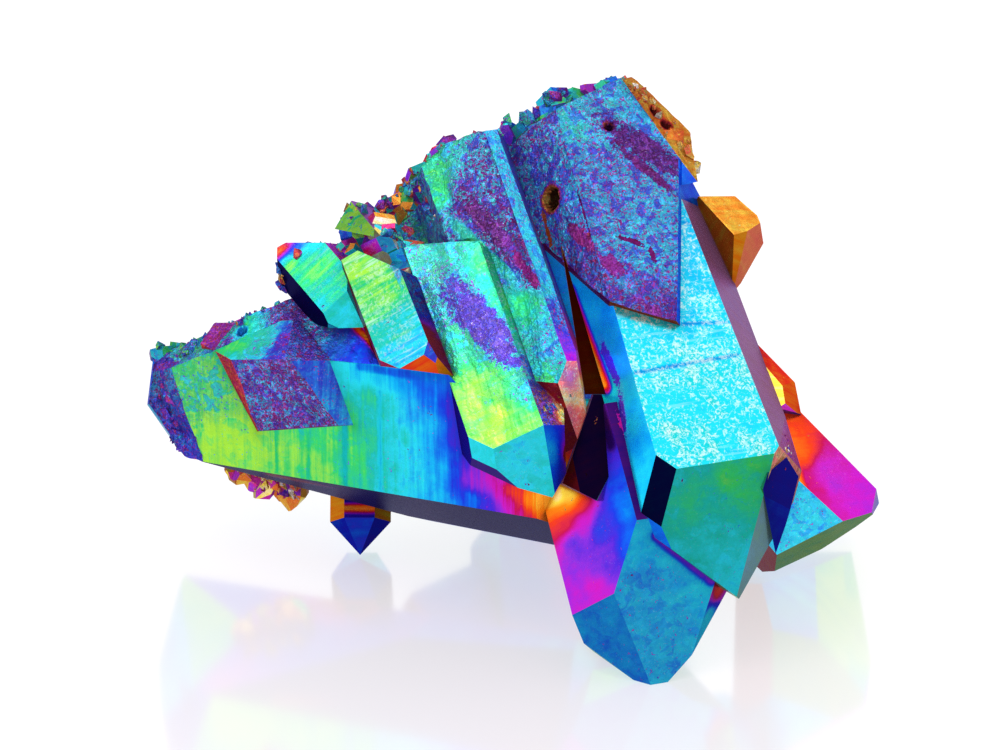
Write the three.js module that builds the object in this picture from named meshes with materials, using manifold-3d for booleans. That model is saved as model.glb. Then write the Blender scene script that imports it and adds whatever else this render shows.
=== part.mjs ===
// Rainbow quartz crystal: a cluster of quartz points with a titanium coating, grown as one piece.
// Millimetres, +Z up. The cluster stands on z = 0 and its front faces -Y.
//
// Every crystal is a hexagonal prism with a six-faced point. Its direction is given by a heading
// (compass angle of the tip from +X), a dip (how far the tip points down) and a roll about its own
// axis. Prism face 0 is the one that the roll turns from the uppermost direction, and the others
// follow every 60 degrees. The crystals share nearly one orientation, as twins of one seed do.
import * as THREE from 'three';
import { ConvexGeometry } from 'three/addons/geometries/ConvexGeometry.js';
import { mergeVertices } from 'three/addons/utils/BufferGeometryUtils.js';
import Module from 'manifold-3d';

const wasm = await Module();
wasm.setup();

const RHOMB_ELEVATION = 38.2;      // quartz point faces above the prism's equator, degrees
const FACE_COUNT = 6;

// ------------------------------------------------------------------ crystals, millimetres
// sides: distance of each prism face from the axis. shoulders: height along the axis at which
// each point face cuts its own prism face. root: how far the crystal runs back from `at`.
// facets: named cut planes as [azimuth, elevation, distance from `at`]; left and right are as seen
// from the front.
const TWIN = { heading: -71.5, dip: 42, roll: 3 };       // direction that most crystals share
const BASE = { heading: -23, dip: 1, roll: 92.5 };       // the long crystal that lies across
const CRYSTALS = {
  // the tall crystal at the right
  main: {
    ...TWIN, at: [24.2, -17.5, 18.8], root: 60,
    sides: [11, 12, 11.5, 10, 9.9, 12], shoulders: [0, 3.1, -2.7, 1, 2, -0.9],
    facets: {
      bevel: [30, 24.4, 11.2], brokenTop: [62, -69, 50.5], rightShoulder: [-42, -5, 18.8],
      rightBreak: [-66, -18, 21.9], rearBreak: [-53, -48, 43.3], rightBack: [-73, -16, 22.5],
      side: [-57, -4, 12.3],
    },
  },
  // the crystal under it, which points to the ground
  foot: {
    heading: -70.5, dip: 46, roll: 0, at: [18.9, -19.9, 14.6], root: 15,
    sides: [9, 9.1, 11.6, 9, 9, 9], shoulders: [0, 6.8, 9.8, 10, 5.5, 2.8],
    facets: {},
  },
  // the wide crystal in the middle
  centre: {
    heading: -65.5, dip: 42.5, roll: 41, at: [4.2, -15.6, 23.8], root: 30,
    sides: [8, 8, 8, 8, 8, 8], shoulders: [0, -0.7, -6.4, -2, -2, 0],
    facets: {
      bevel: [30, 24.4, 7.3], rightWall: [-112, 16, 3.7], rightUnder: [-133, 43, 3.9],
      rightLow: [-113, 6, 4.2], rightMiddle: [-109, -3, 6.3], rightTop: [-102, -19, 11.7],
      brokenTop: [-61, -64, 26.1], rearBreak: [-97, -30, 15.9],
    },
  },
  // its left neighbour
  second: {
    heading: -61, dip: 44, roll: 51.5, at: [-9, -11.8, 33.7], root: 16,
    sides: [3.9, 4.9, 5, 4, 5, 4.9], shoulders: [0, 0, 0, 0, 0, 0],
    facets: {
      bevel: [30, 24.4, 3.7], pointRight: [-30, 24.4, 4.1], rightWall: [-94, 0, 3.1],
      brokenTop: [-94, -41, 9.6], under: [96, 56, 0.5],
    },
  },
  // the small one left of that
  third: {
    heading: -47, dip: 28.5, roll: 49.5, at: [-21.6, 2.8, 40.1], root: 12,
    sides: [4.5, 4.5, 4, 5, 5, 5], shoulders: [6, 7, 4, 4, 4, 4],
    facets: {
      leftWall: [66, -37, 5.7], brokenTop: [-29, -59, 5.9], rearBreak: [-75, -43, 3.7],
      under: [84, 66, 9.1],
    },
  },
  // the long crystal that lies across and carries the left side
  base: {
    ...BASE, at: [-11.8, 4.7, 25.8], root: 34,
    sides: [14.9, 17, 16, 10, 12, 20], shoulders: [24, 24, 24, 24, 24, 24],
    facets: {
      top: [-65, -5, 13.7], leftEnd: [5, -15, 20.6], leftUnder: [38, -38, 28.2],
      leftTop: [-74, -28, 18.1], leftCap: [-20, -63, 31.6], strip: [51, 1, 16.1],
      rearTop: [-111, -30, 13.3], rearEdge: [-102, -27, 14.3], rightEnd: [-135, 28, 2.7],
      under: [62, -5, 16.9], centreSide: [-132, 34, 4.2],
    },
  },
  // the broken crystal above the centre
  behind: {
    heading: -65.5, dip: 42.5, roll: 41, at: [10, -4, 32], root: 40,
    sides: [13.1, 13, 16, 12, 12, 8], shoulders: [8, 10, 10, 0, 0, 5],
    facets: {
      underLeft: [28, 38, 13.6], under: [47, 71, 15.4], rightLow: [-116, 39, 4.2],
      rightMiddle: [-100, 0, 0.7], rightFoot: [-105, 13, 0.5], rightTop: [-97, -5, 4.4],
      leftTop: [46, -61, 30.2], brokenTop: [-33, -74, 29.3],
    },
  },
  // a wedge between the centre and the main crystal
  dark: {
    ...TWIN, at: [18, -16, 24], root: 14,
    facets: {
      front: [37, 8, 7.2], frontLeft: [45, 7, 8.1], under: [122, 44, 8.2],
      rightUnder: [-86, 42, -2.6], rightWall: [-73, 0, -3.6], leftWall: [87, -29, 9.1],
      back: [180, 0, 8],
    },
  },
  // a small point at the right of the main point
  hinge: {
    ...TWIN, at: [33, -12, 16], root: 10,
    facets: {
      front: [-50, 38, 5.6], frontLow: [-50, 48, 5.6], rearTop: [-68, -28, 3.6],
      rightLow: [-91, 28, 1.7], rightWall: [-89, 25, 1.6], leftWall: [109, -8, 0.1],
      leftTop: [102, -33, 0.1], top: [81, -58, 1.9], back: [180, 0, 8],
    },
  },
  // the low crystal at the right
  fan: {
    heading: -60, dip: 20, roll: 0, at: [36, -4, 16], root: 22,
    facets: {
      top: [-9, 24, 5.5], front: [43, 42, 7.1], underside: [-169, 65, 8.9],
      rearTop: [-54, -10, 6.3], tip: [-74, 41, 10.8], tipUnder: [-138, 52, 10.1],
      underRight: [-145, 52, 9.9], underMiddle: [-163, 50, 10.1], underLeft: [122, 8, 8.5],
      leftWall: [102, -34, 6], back: [180, 0, 16],
    },
  },
  // the upper crystal at the right
  golden: {
    ...TWIN, at: [29, -2, 43], root: 12,
    facets: {
      top: [-14, -22, 1.3], front: [-44, 54, -3.8], frontRight: [-62, 46, -2.5],
      rearTop: [-30, -53, 8.9], rightTop: [-60, -29, 6.9], rightWall: [-74, -1, 4.7],
      rightUnder: [-99, 39, 2.2], leftWall: [86, 15, -2.3], back: [180, 0, 9],
    },
  },
  // a small one below it
  ember: {
    ...TWIN, at: [35, -6, 30], root: 12,
    facets: {
      right: [-49, 11, -1.3], front: [-23, 13, -1.8], top: [-42, -6, -1.5],
      rearTop: [-62, -29, 0.8], rightWall: [-76, 4, 1.4], frontLow: [-43, 43, 0.1],
      under: [146, 71, 3.5], leftWall: [112, 4, 8], back: [180, 0, 9],
    },
  },
  // a splinter on the left ridge
  lemon: {
    ...TWIN, at: [-17, 8, 47], root: 10,
    facets: {
      left: [39, -24, 2.1], top: [-24, -34, 0.8], leftWall: [93, -40, 1.5],
      rearTop: [-48, -58, 0.5], rightWall: [-85, 17, 1.6], under: [148, 54, 3.1],
      back: [180, 0, 8],
    },
  },
  // a raised growth block on the base
  block: {
    ...BASE, at: [-28, -1, 25], root: 9,
    facets: {
      front: [8, 0, 3.9], middle: [-9, 23, 7.9], leftWall: [17, -28, 3.9], under: [58, 12, 4],
      top: [-72, -11, 8.7], topRight: [-77, 5, 9.8], back: [180, 0, 2],
    },
  },
  // a second growth layer on the upper half of the main crystal
  layer: {
    ...TWIN, at: [24.2, -17.5, 18.8], root: 60,
    facets: {
      front: [0, 0, 12.2], left: [60, 0, 13.2], rightStep: [-62, 14, 0.5],
      lowerStep: [120, 59, -18.4], leftStep: [107, 25, -5.4], back: [180, 0, 8],
      brokenTop: [62, -69, 50.5], rightShoulder: [-42, -5, 18.8], rightBreak: [-66, -18, 21.9],
    },
  },
  // the rough mass beside the top of the main crystal
  summit: {
    ...TWIN, at: [20, 8, 57], root: 14,
    facets: {
      front: [-25, -9, -0.2], rearTop: [-63, -33, 3.3], rightTop: [-65, -28, 2.9],
      rightWall: [-82, 9, 3.8], under: [-176, 58, 6.5], leftWall: [108, -14, 6.3],
      back: [180, 0, 9], root: [0, -90, 14], mainFace: [0, 0, -0.1], brokenTop: [10, -70, 8],
    },
  },
  // the hidden mass that the crystals grew out of
  core: {
    heading: -90, dip: 0, roll: 0, at: [2, 16, 24], root: 13,
    facets: {
      leftTop: [45, -23, 23.2], leftBreak: [57, -20, 21.3], rearTop: [14, -29, 25.5],
      frontTop: [16, 37, 22], frontUnder: [180, 35, 12], leftWall: [90, 0, 15],
      rightWall: [-90, -8, 18], rearLeft: [40, -52, 19], rearRight: [-42, -48, 20],
      underLeft: [140, -40, 15], underRight: [-138, -45, 16], rightTop: [-60, 10, 21],
      under: [180, -20, 17], leftUnder: [100, 30, 14],
    },
  },
  // the rear crystal that the cluster stands on
  rearFoot: {
    heading: 96, dip: 58, roll: 12, at: [6, 23, 5.5], root: 24,
    sides: [8.5, 8, 9, 8, 8.5, 9], shoulders: [0, 1, -1, 0.5, 0, 1],
    facets: {},
  },
  // three points at the back
  rearLeft: {
    heading: 148, dip: 30, roll: -20, at: [-13, 21, 22], root: 18,
    sides: [5.5, 5, 6, 5, 5.5, 5], shoulders: [0, 1, 0, -1, 1, 0],
    facets: {},
  },
  rearRight: {
    heading: 58, dip: 24, roll: 30, at: [21, 21, 25], root: 18,
    sides: [5, 6, 5, 5.5, 5, 6], shoulders: [1, 0, 0, 1, -1, 0],
    facets: {},
  },
  rearTop: {
    heading: 104, dip: -6, roll: 10, at: [6, 27, 41], root: 20,
    sides: [4.5, 5, 4, 4.5, 5, 4.5], shoulders: [0, 0, 1, 0, 1, 0],
    facets: {},
  },
  // a little point under the base
  little: {
    heading: -90, dip: 56, roll: 0, at: [-18, 9.2, 3.8], root: 14,
    sides: [3.4, 3.4, 3.4, 3.4, 3.4, 3.4], shoulders: [0, 0, 0, 0, 0, 0],
    facets: {},
  },
};

// The deep crack between the main crystal and its neighbour.
const CRACK = {
  ...TWIN, at: [14, -8, 34], root: 17,
  facets: {
    leftWall: [105, -6, 4.4], rightWall: [-72, -1, -2.5], floor: [180, 0, 5.1],
    mouth: [0, 0, 14], lowerEnd: [162, 62, 4.9],
  },
};

// Rows of small broken crystals: where a row starts and ends, how many, and their half width.
const RUBBLE = [
  { from: [-20, 0.5, 43], to: [-15.5, 6, 45], count: 6, size: 1.7 },
  { from: [-15, 7, 45.5], to: [-9, 9, 50], count: 8, size: 1.6 },
  { from: [-9, 9.5, 50.5], to: [-7, 10.5, 52.5], count: 4, size: 1.5 },
  { from: [-7, 11, 52.5], to: [4, 12, 55.5], count: 11, size: 1.3 },
  { from: [4.5, 11, 55.5], to: [7.5, 14, 58.5], count: 5, size: 1.4 },
  { from: [7.5, 14, 58.3], to: [14.5, 13, 60.3], count: 8, size: 1.3 },
  { from: [-14.5, 3, 46], to: [-9, -6, 39.5], count: 9, size: 1.6 },
  { from: [-42, 8, 27], to: [-38, 6, 28.5], count: 5, size: 1.5 },
  { from: [-34, 8, 10.8], to: [-26, 8, 8], count: 7, size: 1.5 },
  { from: [18, 9, 57], to: [23, 10.5, 53], count: 6, size: 1.4 },
];

// ------------------------------------------------------------------ geometry helpers
/** Unit vectors of a crystal: c along the tip, m out of prism face 0, w to azimuth 90. */
function crystalAxes({ heading, dip, roll }) {
  const h = THREE.MathUtils.degToRad(heading);
  const d = THREE.MathUtils.degToRad(dip);
  const r = THREE.MathUtils.degToRad(roll);
  const c = new THREE.Vector3(Math.cos(h) * Math.cos(d), Math.sin(h) * Math.cos(d), -Math.sin(d));
  const up = new THREE.Vector3(0, 0, 1).addScaledVector(c, -c.z).normalize();
  const side = new THREE.Vector3().crossVectors(c, up);
  const m = up.clone().multiplyScalar(Math.cos(r)).addScaledVector(side, Math.sin(r));
  return { c, m, w: new THREE.Vector3().crossVectors(c, m) };
}

/** A cut plane whose normal stands at an azimuth about c and an elevation above its equator. */
function facetPlane(axes, at, azimuth, elevation, distance) {
  const a = THREE.MathUtils.degToRad(azimuth);
  const e = THREE.MathUtils.degToRad(elevation);
  const normal = axes.m.clone().multiplyScalar(Math.cos(a) * Math.cos(e))
    .addScaledVector(axes.w, Math.sin(a) * Math.cos(e))
    .addScaledVector(axes.c, Math.sin(e));
  return new THREE.Plane(normal, -distance - normal.dot(at));
}

/** The corners of the convex body bounded by the planes. */
function cornersOf(planes) {
  const corners = [];
  for (let i = 0; i < planes.length; i += 1) {
    for (let j = i + 1; j < planes.length; j += 1) {
      for (let k = j + 1; k < planes.length; k += 1) {
        const corner = meetingPoint(planes[i], planes[j], planes[k]);
        if (corner && planes.every((plane) => plane.distanceToPoint(corner) < 1e-4)) {
          if (corners.every((other) => other.distanceTo(corner) > 1e-3)) {
            corners.push(corner);
          }
        }
      }
    }
  }
  return corners;
}

/** Where three planes meet, or null when two of them are almost parallel. */
function meetingPoint(a, b, c) {
  const bc = new THREE.Vector3().crossVectors(b.normal, c.normal);
  const ca = new THREE.Vector3().crossVectors(c.normal, a.normal);
  const ab = new THREE.Vector3().crossVectors(a.normal, b.normal);
  const volume = a.normal.dot(bc);
  if (Math.abs(volume) < 1e-5) {
    return null;
  }
  return bc.multiplyScalar(-a.constant).addScaledVector(ca, -b.constant)
    .addScaledVector(ab, -c.constant).divideScalar(volume);
}

/** All the planes of a quartz point. */
function quartzPlanes(crystal) {
  const axes = crystalAxes(crystal);
  const at = new THREE.Vector3(...crystal.at);
  const rhomb = THREE.MathUtils.degToRad(RHOMB_ELEVATION);
  const planes = [facetPlane(axes, at, 0, -90, crystal.root)];
  for (let i = 0; crystal.sides && i < FACE_COUNT; i += 1) {
    const side = crystal.sides[i];
    const reach = side * Math.cos(rhomb) + crystal.shoulders[i] * Math.sin(rhomb);
    planes.push(facetPlane(axes, at, 60 * i, 0, side));
    planes.push(facetPlane(axes, at, 60 * i, RHOMB_ELEVATION, reach));
  }
  for (const [azimuth, elevation, distance] of Object.values(crystal.facets)) {
    planes.push(facetPlane(axes, at, azimuth, elevation, distance));
  }
  return planes;
}

/** A closed three.js geometry as a solid that can be joined and cut. */
function solidOf(geometry) {
  const bare = geometry.clone();
  bare.deleteAttribute('normal');
  bare.deleteAttribute('uv');
  const merged = mergeVertices(bare, 1e-4);
  return new wasm.Manifold(new wasm.Mesh({
    numProp: 3,
    vertProperties: Float32Array.from(merged.attributes.position.array),
    triVerts: Uint32Array.from(merged.index.array),
  }));
}

/** A solid's surface as a three.js geometry. */
function geometryOf(solid) {
  const mesh = solid.getMesh();
  const geometry = new THREE.BufferGeometry();
  geometry.setAttribute('position', new THREE.BufferAttribute(new Float32Array(mesh.vertProperties), 3));
  geometry.setIndex(new THREE.BufferAttribute(new Uint32Array(mesh.triVerts), 1));
  geometry.computeVertexNormals();
  return geometry;
}

/** One quartz point as a solid. */
function quartzSolid(crystal) {
  return solidOf(new ConvexGeometry(cornersOf(quartzPlanes(crystal))));
}

/** Small broken crystals strewn along the rough edges, joined in one solid. */
function rubbleSolid() {
  let solid = null;
  THREE.MathUtils.seededRandom(7);
  const spread = (range) => (THREE.MathUtils.seededRandom() * 2 - 1) * range;
  for (const { from, to, count, size } of RUBBLE) {
    const start = new THREE.Vector3(...from);
    const end = new THREE.Vector3(...to);
    for (let i = 0; i < count; i += 1) {
      const at = start.clone().lerp(end, count > 1 ? i / (count - 1) : 0);
      const width = size * (1 + spread(0.35));
      const chip = quartzSolid({
        at: [at.x + spread(size * 0.5), at.y + spread(size * 0.7), at.z + spread(size * 0.4)],
        heading: TWIN.heading + spread(50), dip: TWIN.dip + spread(35), roll: TWIN.roll + spread(30),
        root: width * 0.9,
        sides: Array.from({ length: FACE_COUNT }, () => width * (1 + spread(0.25))),
        shoulders: Array.from({ length: FACE_COUNT }, () => spread(width * 0.5)),
        facets: {},
      });
      solid = solid ? solid.add(chip) : chip;
    }
  }
  return solid;
}

// ------------------------------------------------------------------ the cluster
let cluster = null;
for (const crystal of Object.values(CRYSTALS)) {
  const solid = quartzSolid(crystal);
  cluster = cluster ? cluster.add(solid) : solid;
}

cluster = cluster.subtract(quartzSolid(CRACK)).add(rubbleSolid());
const ground = new THREE.BoxGeometry(400, 400, 100);
ground.translate(0, 0, -50);
cluster = cluster.subtract(solidOf(ground));

const coatedQuartz = new THREE.MeshStandardMaterial({
  name: 'titanium_coated_quartz', color: 0x2a9fb8, roughness: 0.22, metalness: 0.9,
});
const rainbowQuartz = new THREE.Group();
const surface = geometryOf(cluster);
surface.computeBoundingBox();
const middle = surface.boundingBox.getCenter(new THREE.Vector3());
surface.translate(-middle.x, -middle.y, -surface.boundingBox.min.z);     // origin under the middle
const body = new THREE.Mesh(surface, coatedQuartz);
body.name = 'quartz_cluster';
rainbowQuartz.add(body);

export default rainbowQuartz;
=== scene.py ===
"""Rainbow quartz crystal: a natural quartz cluster with a thin film of titanium oxide on it.

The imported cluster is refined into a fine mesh, its rough parts are broken up, and every face gets
its film thickness from the spots that its entry lists, each with its place on the solid. Lengths in
this file are millimetres unless a name says otherwise, and become metres where a mesh is made.
"""
import logging
import math
from dataclasses import dataclass, field
from enum import Enum

import bmesh
import bpy
import numpy as np
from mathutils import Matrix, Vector
from mathutils.bvhtree import BVHTree
from mathutils.kdtree import KDTree


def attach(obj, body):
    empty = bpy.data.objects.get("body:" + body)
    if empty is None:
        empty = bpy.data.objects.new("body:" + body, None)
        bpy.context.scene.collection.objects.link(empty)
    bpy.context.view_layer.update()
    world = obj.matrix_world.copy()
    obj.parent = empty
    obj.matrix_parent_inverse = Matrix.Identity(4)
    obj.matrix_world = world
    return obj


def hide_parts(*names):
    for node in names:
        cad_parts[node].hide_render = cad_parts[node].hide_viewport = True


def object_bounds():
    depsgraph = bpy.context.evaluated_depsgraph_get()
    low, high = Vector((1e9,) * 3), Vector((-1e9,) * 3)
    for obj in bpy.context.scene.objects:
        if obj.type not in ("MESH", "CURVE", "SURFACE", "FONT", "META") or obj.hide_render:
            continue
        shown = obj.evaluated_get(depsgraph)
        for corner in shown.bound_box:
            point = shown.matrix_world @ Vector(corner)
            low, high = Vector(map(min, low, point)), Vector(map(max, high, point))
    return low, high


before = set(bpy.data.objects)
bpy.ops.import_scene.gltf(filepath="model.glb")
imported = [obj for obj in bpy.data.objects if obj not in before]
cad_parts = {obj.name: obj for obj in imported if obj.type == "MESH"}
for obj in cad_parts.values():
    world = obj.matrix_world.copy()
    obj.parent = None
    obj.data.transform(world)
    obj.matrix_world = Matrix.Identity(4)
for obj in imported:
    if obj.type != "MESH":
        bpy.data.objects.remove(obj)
CAD_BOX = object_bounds()

MM = 0.001
LOG = logging.getLogger("rainbow_quartz")
Array = np.ndarray
Place = tuple[float, float, float]
Spot = tuple[float, float, float, float, float]      # x, y, z, film, grain


# ---------------------------------------------------------------- colours and small helpers
def linear(hex_colour: str, alpha: float = 1.0) -> tuple[float, float, float, float]:
    """Turns an sRGB hex colour into linear values.

    Args:
        hex_colour: The colour as "#rrggbb".
        alpha: The fourth value of the result.

    Returns:
        Red, green, blue and alpha, linear.
    """
    values = [int(hex_colour[i:i + 2], 16) / 255 for i in (1, 3, 5)]
    lit = [v / 12.92 if v <= 0.04045 else ((v + 0.055) / 1.055) ** 2.4 for v in values]
    return lit[0], lit[1], lit[2], alpha


def add_node(tree: bpy.types.NodeTree, kind: str, settings: dict | None = None,
             links: dict | None = None) -> bpy.types.Node:
    """Adds one node with its settings and links.

    Args:
        tree: The node tree that gets it.
        kind: The node's type name.
        settings: Attribute names or input names, each with its value.
        links: Input names or numbers, each with the output socket that feeds it.

    Returns:
        The new node.
    """
    node = tree.nodes.new(kind)
    for key, value in (settings or {}).items():
        if isinstance(key, str) and hasattr(node, key) and key not in node.inputs:
            setattr(node, key, value)
        else:
            node.inputs[key].default_value = value
    for key, socket in (links or {}).items():
        tree.links.new(socket, node.inputs[key])
    return node


def calc(tree: bpy.types.NodeTree, operation: str, *values: float | bpy.types.NodeSocket,
         clamp: bool = False) -> bpy.types.NodeSocket:
    """Adds a Math node.

    Args:
        tree: The node tree that gets it.
        operation: The node's operation.
        values: Its inputs, each a number or an output socket.
        clamp: Keeps the result between 0 and 1.

    Returns:
        The node's output.
    """
    numbers = {i: v for i, v in enumerate(values) if isinstance(v, (int, float))}
    sockets = {i: v for i, v in enumerate(values) if not isinstance(v, (int, float))}
    return add_node(tree, "ShaderNodeMath", {"operation": operation, "use_clamp": clamp, **numbers},
                    sockets).outputs[0]


def step_up(tree: bpy.types.NodeTree, value: bpy.types.NodeSocket, low: float,
            high: float) -> bpy.types.NodeSocket:
    """Returns an output that rises from 0 to 1 while the value goes from low to high."""
    return add_node(tree, "ShaderNodeMapRange", {"From Min": low, "From Max": high},
                    {"Value": value}).outputs["Result"]


def blend(tree: bpy.types.NodeTree, amount: float | bpy.types.NodeSocket, under: bpy.types.NodeSocket,
          over: bpy.types.NodeSocket | tuple, kind: str = "MIX") -> bpy.types.NodeSocket:
    """Lays one colour over another.

    Args:
        tree: The node tree that gets the Mix node.
        amount: How much of the upper colour shows.
        under: The lower colour.
        over: The upper colour.
        kind: The node's blend type.

    Returns:
        The mixed colour.
    """
    settings = {"data_type": "RGBA", "blend_type": kind}
    links = {"A": under}
    for key, value in (("Factor", amount), ("B", over)):
        (settings if isinstance(value, (float, int, tuple)) else links)[key] = value
    return add_node(tree, "ShaderNodeMix", settings, links).outputs["Result"]


def unit(vector: Array) -> Array:
    """Returns the vector, or each row of an array, at length 1."""
    length = np.linalg.norm(vector, axis=-1, keepdims=True)
    return vector / np.maximum(length, 1e-12)


def value_noise(points: Array, cell: float, seed: int) -> Array:
    """Smooth three-dimensional noise.

    Args:
        points: Rows of x, y, z.
        cell: Size of one grid cell.
        seed: Chooses the pattern.

    Returns:
        One value from -1 to 1 for each point.
    """
    scaled = points / cell
    base = np.floor(scaled).astype(np.int64)
    part = scaled - base
    part = part * part * (3 - 2 * part)
    total = np.zeros(len(points))
    for corner in range(8):
        step = np.array([corner & 1, corner >> 1 & 1, corner >> 2 & 1])
        key = base + step
        mixed = (key[:, 0] * 73856093 ^ key[:, 1] * 19349663 ^ key[:, 2] * 83492791 ^ seed * 2654435761)
        mixed = (mixed ^ mixed >> 13) * 1274126177 & 0x7FFFFFFF
        mixed = (mixed ^ mixed >> 16) & 0xFFFF
        weight = np.prod(np.where(step == 1, part, 1 - part), axis=1)
        total += weight * (mixed / 32767.5 - 1)
    return total


# ---------------------------------------------------------------- how the crystals stand
@dataclass(frozen=True)
class Growth:
    """The direction that a crystal grew in.

    Attributes:
        heading: Compass angle of the tip from +X, degrees.
        dip: How far the tip points down, degrees.
    """

    heading: float
    dip: float

    def axis(self) -> Array:
        """Returns the unit vector to the tip."""
        h, d = math.radians(self.heading), math.radians(self.dip)
        return np.array([math.cos(h) * math.cos(d), math.sin(h) * math.cos(d), -math.sin(d)])


TWIN = Growth(-71.5, 42)
FOOT = Growth(-70.5, 46)
MIDDLE = Growth(-65.5, 42.5)
SECOND = Growth(-61, 44)
THIRD = Growth(-47, 28.5)
LYING = Growth(-23, 1)
FAN = Growth(-60, 20)
UPRIGHT = Growth(-90, 56)


class Skin(Enum):
    """What kind of surface a face has."""

    CLEAN = 0
    BROKEN = 1


@dataclass(frozen=True)
class Streak:
    """A stripe on a face where the film or the surface differs.

    Attributes:
        start: Where it starts.
        end: Where it ends.
        reach: How far it spreads to either side.
        film: The film in its middle.
        grain: How grainy it is.
        shade: Painted shade along it, a factor on the face's brightness; above 1 it paints a highlight.
        soft: Fades into the face, where others have a ragged edge.
    """

    start: Place
    end: Place
    reach: float
    film: float
    grain: float = 0.0
    shade: float = 1.0
    soft: bool = False

    def weight(self, places: Array) -> Array:
        """Returns how much of the streak each place gets, 0 to 1."""
        start, end = np.array(self.start), np.array(self.end)
        along = np.clip(((places - start) @ (end - start)) / ((end - start) @ (end - start)), 0, 1)
        gap = np.linalg.norm(places - start - along[..., None] * (end - start), axis=-1)
        rise = np.clip(1.5 - 1.5 * gap / self.reach, 0, 1)
        taper = 1.0 if self.soft else 0.35 + 0.65 * np.sin(math.pi * along)
        return rise * rise * (3 - 2 * rise) * taper


@dataclass(frozen=True)
class CrystalFace:
    """The coating on one flat face.

    Attributes:
        name: The crystal and the face.
        growth: The crystal's direction, which growth lines cross at right angles.
        spots: Places on the face with the film there, 0 thin to 1 thick, and how grainy it is.
        shade: Painted shade, a factor on the face's brightness, 1 for its full colour; above 1 it paints
            extra light and glow.
        veil: How milky the coating is.
        lines: Strength of the growth lines.
        flecks: Strength of the bright flecks.
        ragged: Height of the broken relief, millimetres.
        skin: Clean crystal face or broken matrix.
        streaks: Stripes on the face.
    """

    name: str
    growth: Growth
    spots: tuple[Spot, ...]
    shade: float = 1.0
    veil: float = 0.0
    lines: float = 0.3
    flecks: float = 0.0
    ragged: float = 0.0
    skin: Skin = Skin.CLEAN
    streaks: tuple[Streak, ...] = ()


# Each face's shade is painted shade, a factor on its brightness for what the face reflects; a shade above 1,
# on a face or a streak, paints extra light: highlights on dark faces and glow.
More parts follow.
